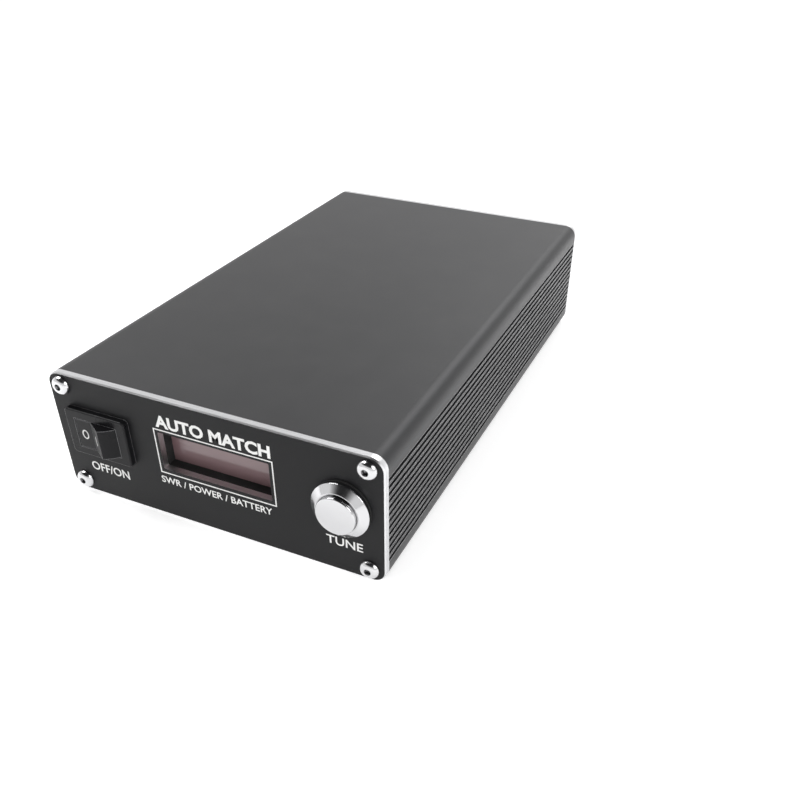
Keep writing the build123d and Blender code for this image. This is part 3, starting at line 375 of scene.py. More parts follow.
# %% Metals
# Painted shade darkens the screw recesses and the gap round the button.
steel = finish("bright_screw_steel", (0.64, 0.64, 0.65), drift=0.10, rough=(0.12, 0.22), metal=1.0,
               grain=2500.0, bump=0.06, recess_shade=1.0)
polished = finish("polished_button_metal", (0.60, 0.60, 0.61), drift=0.04, rough=(0.08, 0.14),
                  metal=1.0, grain=1800.0, bump=0.015, recess_shade=0.9)
nickel = finish("nickel_plate", (0.64, 0.63, 0.61), drift=0.08, rough=(0.12, 0.24), metal=1.0,
                grain=1500.0, bump=0.03)
wire_steel = finish("spring_wire", (0.62, 0.62, 0.64), drift=0.15, rough=(0.22, 0.34), metal=1.0,
                    grain=2500.0, bump=0.05)
brass = finish("contact_brass", (0.80, 0.62, 0.32), drift=0.12, rough=(0.22, 0.36), metal=1.0,
               grain=1600.0, bump=0.04)
copper = finish("enamelled_copper", (0.62, 0.24, 0.10), drift=0.15, rough=(0.16, 0.28), metal=0.85,
                grain=900.0, bump=0.03, coat=0.5)
solder = finish("solder", (0.72, 0.72, 0.74), drift=0.12, rough=(0.18, 0.32), metal=1.0, grain=1400.0,
                bump=0.06)
foil = finish("pouch_foil", (0.62, 0.63, 0.65), drift=0.10, rough=(0.30, 0.44), metal=0.8, grain=700.0,
              bump=0.12)

# %% [markdown]
# Plastics have no metal in them, so their colour does the work. The switch is a
# glossy black nylon, the relays a blue one, the boards a green lacquer over glass
# cloth, and the wires a soft red sleeve.

# %% Plastics, rubber and the rest
# The pale edge colour on the switch is partly wear and partly painted highlight lines on the rocker's edges.
switch_black = finish("switch_nylon", (0.008, 0.008, 0.009), drift=0.15, rough=(0.24, 0.32),
                      grain=4200.0, bump=0.10, wear_and_glint=0.8, wear_and_glint_colour=(0.30, 0.30, 0.31), specular=0.16)
inner_black = finish("moulded_black", (0.035, 0.035, 0.037), drift=0.2, rough=(0.40, 0.52),
                     grain=3200.0, bump=0.10)
rubber = finish("soft_rubber", (0.020, 0.020, 0.020), drift=0.2, rough=(0.62, 0.75), grain=2600.0,
                bump=0.15)
foam = finish("black_foam", (0.012, 0.012, 0.012), drift=0.4, rough=(0.80, 0.92), grain=1400.0,
              bump=0.50)
white_plastic = finish("white_insulator", (0.82, 0.81, 0.77), drift=0.05, rough=(0.36, 0.48),
                       grain=1200.0, bump=0.05)
board_green = finish("board_mask", (0.018, 0.13, 0.055), drift=0.25, rough=(0.22, 0.34), grain=700.0,
                     bump=0.06, coat=0.4)
relay_blue = finish("relay_case", (0.03, 0.09, 0.30), drift=0.10, rough=(0.24, 0.34), grain=1500.0,
                    bump=0.04)
core_red = finish("coated_core_red", (0.45, 0.05, 0.03), drift=0.15, rough=(0.38, 0.50), grain=1300.0,
                  bump=0.15)
core_grey = finish("ferrite_grey", (0.07, 0.07, 0.075), drift=0.25, rough=(0.45, 0.60), grain=1600.0,
                   bump=0.20)
chip_black = finish("chip_epoxy", (0.024, 0.024, 0.026), drift=0.2, rough=(0.45, 0.58), grain=3600.0,
                    bump=0.12)
chip_tan = finish("capacitor_ceramic", (0.40, 0.27, 0.15), drift=0.15, rough=(0.30, 0.42), grain=1400.0,
                  bump=0.05)
can_sleeve = finish("capacitor_sleeve", (0.03, 0.04, 0.09), drift=0.15, rough=(0.25, 0.35),
                    grain=1500.0, bump=0.05)
wire_red = finish("wire_insulation", (0.42, 0.02, 0.02), drift=0.12, rough=(0.38, 0.48), grain=1500.0,
                  bump=0.05)
clear_pipe = finish("light_pipe", (0.72, 0.76, 0.74), drift=0.06, rough=(0.10, 0.20), grain=900.0,
                    bump=0.02)
clear_pipe.node_tree.nodes["Principled BSDF"].inputs["Transmission Weight"].default_value = 0.6
print_white = finish("printed_white", (0.84, 0.84, 0.83), drift=0.06, rough=(0.48, 0.60), grain=4200.0,
                     bump=0.10)
mark_white = finish("moulded_mark_white", (0.74, 0.74, 0.73), drift=0.08, rough=(0.42, 0.54),
                    grain=3600.0, bump=0.08)

# %% [markdown]
# The display is off, so it is a dark glass under a glossy coat; its light brown-violet base colour is a
# painted reflection of the bright room.

# %% Display glass
# Painted reflection: the brown-violet base colour stands for the bright room mirrored in the dark glass.
off_glass = finish("display_off", (0.210, 0.135, 0.142), drift=0.12, rough=(0.10, 0.18), grain=2600.0,
                   bump=0.02, coat=0.6)

# %% [markdown]
# Every solid node now gets its finish. One table keeps the whole choice in view,
# and a count at the end shows whether a node was forgotten.

# %% Give every solid its finish
FINISHES = {
    case_black: ["lower_shell", "upper_shell"],
    front_sheet: ["front_panel"],
    rear_sheet: ["rear_panel"],
    steel: ["front_panel_screws", "rear_panel_screws", "rf_socket_screws", "rf_socket_nuts",
            "tune_button_washer", "chip_legs"],
    polished: ["tune_button_housing", "tune_button_cap"],
    nickel: ["tune_button_nut", "radio_socket_body", "antenna_socket_body", "charge_port_shell",
             "charger_spacers"],
    wire_steel: ["power_switch_spring", "tune_button_spring"],
    brass: ["power_switch_lever", "power_switch_terminals", "tune_button_bridge",
            "tune_button_terminals", "display_pins", "socket_contacts"],
    copper: ["inductor_windings", "coupler_windings", "rf_leads"],
    foil: ["battery_cell"],
    switch_black: ["power_switch_housing", "power_switch_rocker"],
    inner_black: ["tune_button_base", "display_carrier", "charge_port_tongue"],
    rubber: ["tune_button_gasket"],
    foam: ["display_foam", "battery_foam_pad"],
    white_plastic: ["power_switch_plunger", "socket_insulators", "lead_sockets"],
    board_green: ["display_board", "main_board", "charger_board", "battery_guard_board"],
    relay_blue: ["inductor_relays", "capacitor_relays"],
    core_red: ["inductor_cores"],
    core_grey: ["coupler_core"],
    chip_black: ["controller_chip", "driver_chips", "voltage_regulator"],
    chip_tan: ["tuning_capacitors"],
    can_sleeve: ["supply_capacitors"],
    wire_red: ["switch_leads", "button_leads", "display_leads", "battery_leads"],
    clear_pipe: ["charge_light_pipe"],
    off_glass: ["display_glass"],
}
for material, names in FINISHES.items():
    for name in names:
        node = nodes[name]
        node.data.materials.clear()
        node.data.materials.append(material)
covered = {name for names in FINISHES.values() for name in names}
print("finished", len(covered), "nodes; left over:", sorted(set(nodes) - covered))

# %% [markdown]
# ## Printing on the panels
# The words are screen printed in white ink. Text objects become meshes first and
# are then laid on a panel: a thin slab of ink stands 0.05 mm proud, so it
# catches light like real print and is a real shape in the mesh.

# %% Lettering
INK = 0.05 * MM
BOLD = 0.11 * MM


def ink_mesh(curve_object, name):
    """The mesh of a text or curve object, which is then removed."""
    bpy.context.scene.collection.objects.link(curve_object)
    bpy.context.view_layer.update()
    evaluated = curve_object.evaluated_get(bpy.context.evaluated_depsgraph_get())
    mesh = bpy.data.meshes.new_from_object(evaluated)
    mesh.name = name
    data = curve_object.data
    bpy.data.objects.remove(curve_object)
    bpy.data.curves.remove(data)
    return mesh


def printed_words(name, words, width, low, middle_x, height, bold=BOLD, rear=False):
    """White words on a panel: width, foot height, centre and letter height in metres."""
    curve = bpy.data.curves.new(name, "FONT")
    curve.body = words
    curve.size = 10.0 * MM
    curve.offset = bold
    curve.extrude = INK
    curve.resolution_u = 3
    mesh = ink_mesh(bpy.data.objects.new(name, curve), name)
    xs = [v.co.x for v in mesh.vertices]
    ys = [v.co.y for v in mesh.vertices]
    scale_x = width / (max(xs) - min(xs))
    scale_y = height / (max(ys) - min(ys))
    centre = (max(xs) + min(xs)) / 2
    for vertex in mesh.vertices:
        x, y, z = vertex.co
        across = (x - centre) * scale_x
        up = low + (y - min(ys)) * scale_y
        vertex.co = (middle_x - across, rear_y + z, up) if rear else (middle_x + across, face_y - z, up)
    return finished(name, mesh, print_white)


printed_words("print_off_on", "OFF/ON", width=13.8 * MM, low=8.6 * MM,
              middle_x=switch_x - 0.2 * MM, height=3.0 * MM)
printed_words("print_tune", "TUNE", width=10.9 * MM, low=8.7 * MM, middle_x=button_x, height=2.8 * MM)
printed_words("print_header", "AUTO MATCH", width=36.3 * MM, low=31.0 * MM,
              middle_x=display_x + 0.4 * MM, height=4.0 * MM, bold=0.34 * MM)
printed_words("print_footer", "SWR / POWER / BATTERY", width=36.6 * MM, low=11.95 * MM,
              middle_x=display_x - 1.0 * MM, height=2.3 * MM)
over_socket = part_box("radio_socket_body")[1][2] + 1.6 * MM
under_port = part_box("charge_port_shell")[0][2] - 5.0 * MM
printed_words("print_radio", "RADIO", width=9.5 * MM, low=over_socket,
              middle_x=middle("radio_socket_body")[0], height=2.3 * MM, rear=True)
printed_words("print_antenna", "ANTENNA", width=14.0 * MM, low=over_socket,
              middle_x=middle("antenna_socket_body")[0], height=2.3 * MM, rear=True)
printed_words("print_charge", "CHARGE", width=11.0 * MM, low=under_port,
              middle_x=middle("charge_port_shell")[0], height=2.1 * MM, rear=True)
print("words printed on both panels")

# %% [markdown]
# Several pieces follow a path or repeat: the line round the window, threads,
# springs, wire, solder and terminals. Geometry Nodes make these from a few named
# sizes. Three helpers open such a tree, close it, and run it to get a plain mesh.

# %% A helper for geometry trees
def geometry_tree(name, inputs):
    """A new geometry tree with named inputs: label -> (socket type, default)."""
    tree = bpy.data.node_groups.new(name, "GeometryNodeTree")
    tree.interface.new_socket("Geometry", in_out="INPUT", socket_type="NodeSocketGeometry")
    for label, (kind, default) in inputs.items():
        socket = tree.interface.new_socket(label, in_out="INPUT", socket_type=kind)
        if default is not None:
            socket.default_value = default
    tree.interface.new_socket("Geometry", in_out="OUTPUT", socket_type="NodeSocketGeometry")
    return tree, tree.nodes.new("NodeGroupInput"), tree.nodes.new("NodeGroupOutput")


def close_tree(tree, source, inside, outside):
    """Ends a tree in Realize Instances and Set Material."""
    realize = tree.nodes.new("GeometryNodeRealizeInstances")
    paint = tree.nodes.new("GeometryNodeSetMaterial")
    tree.links.new(source, realize.inputs["Geometry"])
    tree.links.new(realize.outputs["Geometry"], paint.inputs["Geometry"])
    tree.links.new(inside.outputs["Material"], paint.inputs["Material"])
    tree.links.new(paint.outputs["Geometry"], outside.inputs["Geometry"])


def grow(tree, name, material, values, body="case", smooth=True, base=None):
    """Runs a geometry tree with its values and returns the finished plain piece."""
    carrier = bpy.data.objects.new(name, base or bpy.data.meshes.new(name))
    bpy.context.scene.collection.objects.link(carrier)
    modifier = carrier.modifiers.new(name, "NODES")
    modifier.node_group = tree
    labels = {item.name: item.identifier for item in tree.interface.items_tree
              if item.item_type == "SOCKET" and item.in_out == "INPUT"}
    for label, value in {**values, "Material": material}.items():
        modifier[labels[label]] = value
    bpy.context.view_layer.update()
    evaluated = carrier.evaluated_get(bpy.context.evaluated_depsgraph_get())
    mesh = bpy.data.meshes.new_from_object(evaluated)
    carrier.modifiers.remove(modifier)
    bpy.data.objects.remove(carrier)
    piece = finished(name, mesh, material, body, smooth)
    print(name, "has", len(mesh.polygons), "faces")
    return piece


# %% [markdown]
# A line of the same ink frames the window. It could be four thin boxes, but a flat
# ribbon swept along a rectangle keeps its corners closed and its width even.

# %% The printed window frame
def window_frame_tree():
    """A rectangle of ribbon: Width, Height, Line and Ink."""
    sizes = {label: ("NodeSocketFloat", 0.01) for label in ("Width", "Height", "Line", "Ink")}
    tree, inside, outside = geometry_tree("window_frame", {
        **sizes, "Centre": ("NodeSocketVector", None), "Material": ("NodeSocketMaterial", None)})
    path = tree.nodes.new("GeometryNodeCurvePrimitiveQuadrilateral")
    ribbon = tree.nodes.new("GeometryNodeCurvePrimitiveQuadrilateral")
    sweep = tree.nodes.new("GeometryNodeCurveToMesh")
    place = tree.nodes.new("GeometryNodeTransform")
    tree.links.new(inside.outputs["Width"], path.inputs["Width"])
    tree.links.new(inside.outputs["Height"], path.inputs["Height"])
    tree.links.new(inside.outputs["Line"], ribbon.inputs["Width"])
    tree.links.new(inside.outputs["Ink"], ribbon.inputs["Height"])
    tree.links.new(path.outputs["Curve"], sweep.inputs["Curve"])
    tree.links.new(ribbon.outputs["Curve"], sweep.inputs["Profile Curve"])
    tree.links.new(sweep.outputs["Mesh"], place.inputs["Geometry"])
    place.inputs["Rotation"].default_value = (math.pi / 2, 0, 0)
    tree.links.new(inside.outputs["Centre"], place.inputs["Translation"])
    close_tree(tree, place.outputs["Geometry"], inside, outside)
    return tree


grow(window_frame_tree(), "print_window_frame", print_white,
     {"Width": 37.6 * MM, "Height": 14.5 * MM, "Line": 0.5 * MM, "Ink": 2 * INK,
      "Centre": (display_x, face_y, display_z - 0.2 * MM)}, smooth=False)

# %% [markdown]
# The rocker carries a ring for off and a bar for on. At rest the off face lies
# flush and the on face stands out at the rocker's full swing, so each mark is
# laid in the plane of its own face. Both ride with the rocker. They are raised
# outlines, a band between an outer and an inner ring of points.

# %% Rocker marks
rocker_joint = next(j for j in frame["record"]["behaviour"]["joints"] if j["name"] == "power_rocker")
rocker_pivot = Vector(rocker_joint["pos_m"])
rocker_swing = math.radians(rocker_joint["range_deg"][1])
rocker_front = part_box("power_switch_housing")[0][1]


def rocker_mark(name, outer, inner, tilt, along, lift):
    """Ink between two outlines on a rocker face; along and lift place it from the pivot."""
    bm = bmesh.new()
    turn = Matrix.Rotation(tilt, 4, "Z")

    def loop(points, rise):
        """The outline's points on the face, raised by rise."""
        flat = [Vector((x + along, -lift - rise, z)) for x, z in points]
        return [bm.verts.new(turn @ point + rocker_pivot) for point in flat]

    lower, upper = loop(outer, 0), loop(outer, INK)
    inner_lower, inner_upper = loop(inner, 0), loop(inner, INK)
    count = len(outer)
    for i in range(count):
        j = (i + 1) % count
        bm.faces.new((lower[i], lower[j], upper[j], upper[i]))
        bm.faces.new((inner_lower[i], inner_upper[i], inner_upper[j], inner_lower[j]))
        bm.faces.new((upper[i], upper[j], inner_upper[j], inner_upper[i]))
        bm.faces.new((lower[i], inner_lower[i], inner_lower[j], lower[j]))
    return finished(name, mesh_from(bm, name), mark_white, "rocker")


def ring_points(radius_x, radius_z, count=28):
    """Points of an ellipse."""
    angles = [2 * math.pi * i / count for i in range(count)]
    return [(radius_x * math.cos(angle), radius_z * math.sin(angle)) for angle in angles]


def bar_points(half_x, half_z):
    """Corners of a rectangle."""
    return [(half_x, half_z), (-half_x, half_z), (-half_x, -half_z), (half_x, -half_z)]


off_face_end = 7.0 * MM
ring_x, ring_z, ring_stroke = 1.15 * MM, 1.55 * MM, 0.40 * MM
bar_x, bar_z, bar_stroke = 0.28 * MM, 1.50 * MM, 0.23 * MM
bar_from_valley = 2.9 * MM
flush = rocker_pivot.y - rocker_front
valley_x = -flush * math.tan(rocker_swing / 2)
rocker_mark("mark_off", ring_points(ring_x, ring_z), ring_points(ring_x - ring_stroke, ring_z - ring_stroke),
            tilt=0.0, along=(valley_x - off_face_end) / 2, lift=flush)
valley = Matrix.Rotation(rocker_swing, 4, "Z") @ Vector((valley_x, -flush, 0))
rocker_mark("mark_on", bar_points(bar_x, bar_z), bar_points(bar_x - bar_stroke, bar_z - bar_stroke),
            tilt=-rocker_swing, along=valley.x + bar_from_valley, lift=-valley.y)
print("rocker swings", round(math.degrees(rocker_swing)), "degrees")

# %% [markdown]
# ## Threads and the button's spring
# The coaxial sockets carry a coarse outside thread, and a coil spring pushes the
# button out. Both are a helix about Y: four sides make the thread's ridge, twelve
# make round wire.

# %% Socket threads and the button's spring
def helix_tree():
    """A ridge or a wire on a helix about Y: Radius, Turns, Length, Depth, Sides and Start."""
    steps_per_turn = 40
    floats = {label: ("NodeSocketFloat", 0.01) for label in ("Radius", "Turns", "Length", "Depth")}
    tree, inside, outside = geometry_tree("helix", {
        **floats, "Sides": ("NodeSocketInt", 4), "Start": ("NodeSocketVector", None),
        "Material": ("NodeSocketMaterial", None)})
    helix = tree.nodes.new("GeometryNodeCurveSpiral")
    helix.inputs["Resolution"].default_value = steps_per_turn
    ridge = tree.nodes.new("GeometryNodeCurvePrimitiveCircle")
    sweep = tree.nodes.new("GeometryNodeCurveToMesh")
    sweep.inputs["Fill Caps"].default_value = True
    place = tree.nodes.new("GeometryNodeTransform")
    tree.links.new(inside.outputs["Turns"], helix.inputs["Rotations"])
    tree.links.new(inside.outputs["Radius"], helix.inputs["Start Radius"])
    tree.links.new(inside.outputs["Radius"], helix.inputs["End Radius"])
    tree.links.new(inside.outputs["Length"], helix.inputs["Height"])
    tree.links.new(inside.outputs["Depth"], ridge.inputs["Radius"])
    tree.links.new(inside.outputs["Sides"], ridge.inputs["Resolution"])
    tree.links.new(helix.outputs["Curve"], sweep.inputs["Curve"])
    tree.links.new(ridge.outputs["Curve"], sweep.inputs["Profile Curve"])
    tree.links.new(sweep.outputs["Mesh"], place.inputs["Geometry"])
    place.inputs["Rotation"].default_value = (-math.pi / 2, 0, 0)
    tree.links.new(inside.outputs["Start"], place.inputs["Translation"])
    close_tree(tree, place.outputs["Geometry"], inside, outside)
    return tree


helix = helix_tree()
thread_pitch = 1.058 * MM
thread_depth = 0.38 * MM
thread_sink = 0.05 * MM
flange_gap, tip_gap = 2.6 * MM, 1.1 * MM
for name in ("radio_socket", "antenna_socket"):
    lo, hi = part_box(f"{name}_body")
    mount = next(m for m in frame["record"]["mounts"] if m["name"] == name)
    radius = mount["dims"]["r_mm"] * MM
    start_y = lo[1] + flange_gap
    length = hi[1] - start_y - tip_gap
    grow(helix, f"{name}_thread", nickel,
         {"Radius": radius - thread_sink, "Turns": length / thread_pitch, "Length": length,
          "Depth": thread_depth, "Sides": 4, "Start": ((lo[0] + hi[0]) / 2, start_y, (lo[2] + hi[2]) / 2)},
         smooth=False)

spring_lo, spring_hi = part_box("tune_button_spring")
spring_wire = 0.25 * MM
spring_turns = 3.5
spring_space = spring_hi[1] - spring_lo[1]
spring = grow(helix, "tune_coil_spring", wire_steel,
              {"Radius": (spring_hi[0] - spring_lo[0]) / 2 - spring_wire, "Turns": spring_turns,
               "Length": spring_space - 2 * spring_wire, "Depth": spring_wire, "Sides": 12,
               "Start": (button_x, spring_lo[1] + spring_wire, button_z)})
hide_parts("tune_button_spring")
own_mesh(spring)

# %% [markdown]
# ## Inductor wire
# The solid model stands plain rings in for the wire on the three cores. Here one
# continuous round wire winds each core instead: a long curve is bent round the
# ring and round the core's section at once, and its turns are squared off a
# little so that the wire lies flat against the core.

# %% Wire wound on a core
def winding_tree():
    """A wire round a ring core at every base point: Turns, Span, Ring, Reach, Rise and Wire."""
    squareness, steps_per_turn = 0.35, 32.0
    labels = ("Turns", "Span", "Ring", "Reach", "Rise", "Wire")
    floats = {label: ("NodeSocketFloat", 0.01) for label in labels}
    tree, inside, outside = geometry_tree("core_winding", {
        **floats, "Material": ("NodeSocketMaterial", None)})
    read = inside.outputs

    def squared(operation, angle):
        """Sine or cosine of the angle, pushed outwards towards a square."""
        wave = math_node(tree, operation, angle)
        size = math_node(tree, "POWER", math_node(tree, "ABSOLUTE", wave), squareness)
        return math_node(tree, "MULTIPLY", size, math_node(tree, "SIGN", wave))

    line = tree.nodes.new("GeometryNodeCurvePrimitiveLine")
    fine = tree.nodes.new("GeometryNodeResampleCurve")
    tree.links.new(line.outputs["Curve"], fine.inputs["Curve"])
    tree.links.new(math_node(tree, "MULTIPLY", read["Turns"], steps_per_turn), fine.inputs["Count"])
    along = tree.nodes.new("GeometryNodeSplineParameter").outputs["Factor"]
    whole_angle = math_node(tree, "MULTIPLY", read["Turns"], 2 * math.pi)
    round_core = math_node(tree, "MULTIPLY", along, whole_angle)
    round_ring = math_node(tree, "MULTIPLY", along, read["Span"])
    offset = math_node(tree, "MULTIPLY", squared("COSINE", round_core), read["Reach"])
    radius = math_node(tree, "ADD", read["Ring"], offset)
    place = tree.nodes.new("ShaderNodeCombineXYZ")
    for axis, wave in (("X", "COSINE"), ("Y", "SINE")):
        coordinate = math_node(tree, "MULTIPLY", radius, math_node(tree, wave, round_ring))
        tree.links.new(coordinate, place.inputs[axis])
    height = math_node(tree, "MULTIPLY", squared("SINE", round_core), read["Rise"])
    tree.links.new(height, place.inputs["Z"])
    bend = tree.nodes.new("GeometryNodeSetPosition")
    tree.links.new(fine.outputs["Curve"], bend.inputs["Geometry"])
    tree.links.new(place.outputs["Vector"], bend.inputs["Position"])
    section = tree.nodes.new("GeometryNodeCurvePrimitiveCircle")
    section.inputs["Resolution"].default_value = 10
    tree.links.new(read["Wire"], section.inputs["Radius"])
    sweep = tree.nodes.new("GeometryNodeCurveToMesh")
    sweep.inputs["Fill Caps"].default_value = True
    tree.links.new(bend.outputs["Geometry"], sweep.inputs["Curve"])
    tree.links.new(section.outputs["Curve"], sweep.inputs["Profile Curve"])
    repeat = tree.nodes.new("GeometryNodeInstanceOnPoints")
    tree.links.new(read["Geometry"], repeat.inputs["Points"])
    tree.links.new(sweep.outputs["Mesh"], repeat.inputs["Instance"])
    close_tree(tree, repeat.outputs["Instances"], inside, outside)
    return tree


cores_lo, cores_hi = (Vector(corner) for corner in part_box("inductor_cores"))
wires_lo, wires_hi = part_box("inductor_windings")
core_depth = cores_hi[1] - cores_lo[1]
core_width = 6.25 * MM
wire_radius = 0.5 * MM
wire_gap = 0.2 * MM
wire_turns = 14.0
wound_angle = math.radians(350)
core_step = (cores_hi[0] - cores_lo[0] - core_depth) / 2
core_middle = (cores_lo + cores_hi) / 2
core_centres = [core_middle + Vector((side * core_step, 0, 0)) for side in (-1, 0, 1)]
core_points = bpy.data.meshes.new("core_points")
core_points.from_pydata(core_centres, [], [])
wire = grow(winding_tree(), "inductor_wire", copper, {
    "Turns": wire_turns, "Span": wound_angle, "Ring": (core_depth - core_width) / 2,
    "Reach": core_width / 2 + wire_radius + wire_gap,
    "Rise": (wires_hi[2] - wires_lo[2]) / 2 - wire_radius,
    "Wire": wire_radius}, base=core_points)
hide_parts("inductor_windings")

# %% [markdown]
# ## Solder joints
# Small domes of solder stand beside the relays on the top of the main board, four
# to each relay. One tree puts the same low dome on every point of a grid.

# %% Solder dots
def dots_tree():
    """Domes on every vertex of the base mesh: Size."""
    tree, inside, outside = geometry_tree(
        "solder_dots", {"Size": ("NodeSocketFloat", 0.001), "Material": ("NodeSocketMaterial", None)})
    dome = tree.nodes.new("GeometryNodeMeshUVSphere")
    dome.inputs["Segments"].default_value = 8
    dome.inputs["Rings"].default_value = 5
    tree.links.new(inside.outputs["Size"], dome.inputs["Radius"])
    squash = tree.nodes.new("GeometryNodeTransform")
    squash.inputs["Scale"].default_value = (1.0, 1.0, 0.55)
    place = tree.nodes.new("GeometryNodeInstanceOnPoints")
    tree.links.new(dome.outputs["Mesh"], squash.inputs["Geometry"])
    tree.links.new(inside.outputs["Geometry"], place.inputs["Points"])
    tree.links.new(squash.outputs["Geometry"], place.inputs["Instance"])
    close_tree(tree, place.outputs["Instances"], inside, outside)
    return tree


relay_count = 8
relay_width = 10.1 * MM
row_gap = 1.0 * MM
pin_reach = 3.6 * MM
board_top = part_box("main_board")[1][2]
dot_points = []
for node_name in ("inductor_relays", "capacitor_relays"):
    lo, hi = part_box(node_name)
    relay_step = (hi[0] - lo[0] - relay_width) / (relay_count - 1)
    for index in range(relay_count):
        relay_x = lo[0] + relay_width / 2 + index * relay_step
        for row_y in (lo[1] - row_gap, hi[1] + row_gap):
            for side in (-1, 1):
                dot_points.append((relay_x + side * pin_reach, row_y, board_top))
dots_base = bpy.data.meshes.new("dots_base")
dots_base.from_pydata(dot_points, [], [])
grow(dots_tree(), "relay_solder", solder, {"Size": 0.75 * MM}, base=dots_base)

# %% [markdown]
# Each tuning capacitor ends in two tinned terminals. One more small tree puts a
# box of a given size on every point.

# %% Capacitor terminals
def boxes_tree():
    """Boxes on every vertex of the base mesh: Size."""
    tree, inside, outside = geometry_tree(
        "boxes", {"Size": ("NodeSocketVector", None), "Material": ("NodeSocketMaterial", None)})
    box = tree.nodes.new("GeometryNodeMeshCube")
    tree.links.new(inside.outputs["Size"], box.inputs["Size"])
    place = tree.nodes.new("GeometryNodeInstanceOnPoints")
    tree.links.new(inside.outputs["Geometry"], place.inputs["Points"])
    tree.links.new(box.outputs["Mesh"], place.inputs["Instance"])
    close_tree(tree, place.outputs["Instances"], inside, outside)
    return tree


row_lo, row_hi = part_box("tuning_capacitors")
capacitor_count = 8
capacitor_width = 4.6 * MM
terminal_depth = 0.9 * MM
plating = 0.06 * MM
capacitor_step = (row_hi[0] - row_lo[0] - capacitor_width) / (capacitor_count - 1)
terminal_height = row_hi[2] - row_lo[2] + plating
terminal_rows = (row_lo[1] + terminal_depth / 2 - plating, row_hi[1] - terminal_depth / 2 + plating)
terminal_points = [
    (row_lo[0] + capacitor_width / 2 + index * capacitor_step, row_y, row_lo[2] + terminal_height / 2)
    for index in range(capacitor_count)
    for row_y in terminal_rows
]
terminals_base = bpy.data.meshes.new("terminals_base")
terminals_base.from_pydata(terminal_points, [], [])
grow(boxes_tree(), "capacitor_terminals", solder,
     {"Size": (capacitor_width + 2 * plating, terminal_depth, terminal_height)},
     smooth=False, base=terminals_base)

# %% [markdown]
# ## The studio
# A pale floor, a soft lamp from the upper left, a weaker one from the right, a
# third from above and behind, and a surround that is bright low down and dark
# overhead give crisp reflections.

# %% Floor, lamps and surround
FLOOR_GAP = 0.2 * MM
FLOOR_RADIUS = 8.0
FLOOR_GLOW = 0.50


def studio_floor():
    """A large pale disc just under the object, lit from within a little so that shadows stay faint."""
    bm = bmesh.new()
    bmesh.ops.create_circle(bm, cap_ends=True, segments=96, radius=FLOOR_RADIUS)
    for vertex in bm.verts:
        vertex.co.z = -FLOOR_GAP
    mesh = mesh_from(bm, "floor")
    floor = bpy.data.objects.new("floor", mesh)
    bpy.context.scene.collection.objects.link(floor)
    paint = finish("pale_floor", (0.92, 0.92, 0.92), drift=0.01, rough=(0.75, 0.85), grain=300.0,
                   bump=0.02)
    glow = paint.node_tree.nodes["Principled BSDF"]
    glow.inputs["Emission Color"].default_value = (1.0, 1.0, 1.0, 1.0)
    glow.inputs["Emission Strength"].default_value = FLOOR_GLOW
    mesh.materials.append(paint)


def lamp(name, place, target, size, watts):
    """An area lamp that points at a target."""
    light = bpy.data.lights.new(name, "AREA")
    light.shape = "DISK"
    light.size = size
    light.energy = watts
    holder = bpy.data.objects.new(name, light)
    holder.location = place
    holder.rotation_euler = (Vector(target) - Vector(place)).to_track_quat("-Z", "Y").to_euler()
    bpy.context.scene.collection.objects.link(holder)


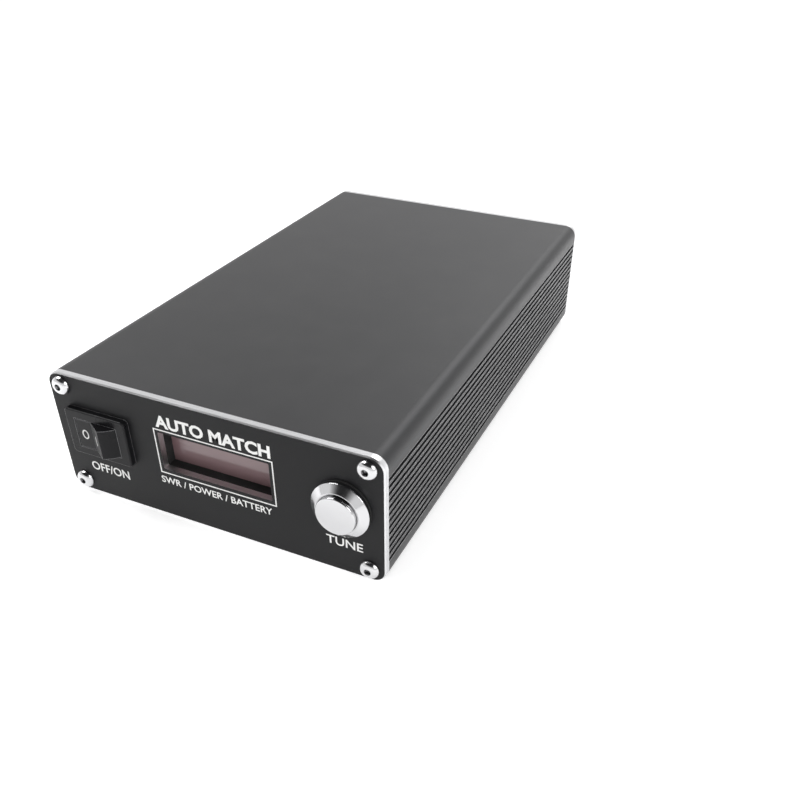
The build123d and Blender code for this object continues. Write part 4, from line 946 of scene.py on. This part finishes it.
def studio_surround():
    """A white surround that darkens overhead, so that polished metal shows black as well."""
    up_share, front_share = 1.3, -0.25
    white_below, black_above = 0.60, 0.84
    world = bpy.data.worlds.new("studio")
    world.use_nodes = True
    tree = world.node_tree
    background = tree.nodes["Background"]
    split = tree.nodes.new("ShaderNodeSeparateXYZ")
    tree.links.new(tree.nodes.new("ShaderNodeTexCoord").outputs["Generated"], split.inputs["Vector"])
    upward = math_node(tree, "MULTIPLY", split.outputs["Z"], up_share)
    forward = math_node(tree, "MULTIPLY", split.outputs["Y"], front_share)
    ramp = tree.nodes.new("ShaderNodeValToRGB")
    low, high = ramp.color_ramp.elements
    low.position, low.color = white_below, (1.0, 1.0, 1.0, 1.0)
    high.position, high.color = black_above, (0.02, 0.02, 0.021, 1.0)
    tree.links.new(math_node(tree, "ADD", upward, forward), ramp.inputs["Fac"])
    tree.links.new(ramp.outputs["Color"], background.inputs["Color"])
    background.inputs["Strength"].default_value = 1.0
    bpy.context.scene.world = world


studio_floor()
lamp("key_left", (-0.55, -0.10, 0.75), (0, 0, 0.02), size=0.5, watts=5.0)
lamp("fill_right", (0.80, -0.30, 0.50), (0, 0, 0.02), size=0.5, watts=3.0)
lamp("top_back", (0.1, 0.8, 0.9), (0, 0.05, 0.02), size=0.8, watts=5.0)
studio_surround()
bpy.context.scene.view_settings.view_transform = "Standard"

# %% [markdown]
# ## The camera
# It stands in front, to the right and above, and looks down at the case. A little
# vertical lens shift places the case in the picture without any more tilt.

# %% Camera
CAMERA_TURN = math.radians(24.47)
CAMERA_RISE = math.radians(35.99)
CAMERA_ROLL = math.radians(-0.26)
CAMERA_PLACE = Vector((0.1226, -0.2327, 0.1554))


def view_matrix(place):
    """Camera matrix from its turn, rise and roll."""
    back = Vector((math.sin(CAMERA_TURN) * math.cos(CAMERA_RISE),
                   -math.cos(CAMERA_TURN) * math.cos(CAMERA_RISE), math.sin(CAMERA_RISE)))
    level = Vector((math.cos(CAMERA_TURN), math.sin(CAMERA_TURN), 0))
    down = (-back).cross(level)
    right = level * math.cos(CAMERA_ROLL) + down * math.sin(CAMERA_ROLL)
    up = -(down * math.cos(CAMERA_ROLL) - level * math.sin(CAMERA_ROLL))
    matrix = Matrix((right, up, back)).transposed().to_4x4()
    matrix.translation = place
    return matrix


lens = bpy.data.cameras.new("camera")
lens.lens = 37.63
lens.sensor_width = 36.0
lens.shift_x = -0.0005
lens.shift_y = 0.0845
lens.clip_start = 0.01
camera = bpy.data.objects.new("camera", lens)
bpy.context.scene.collection.objects.link(camera)
camera.matrix_world = view_matrix(CAMERA_PLACE)
bpy.context.scene.camera = camera
print("camera at", tuple(round(c, 3) for c in camera.location))
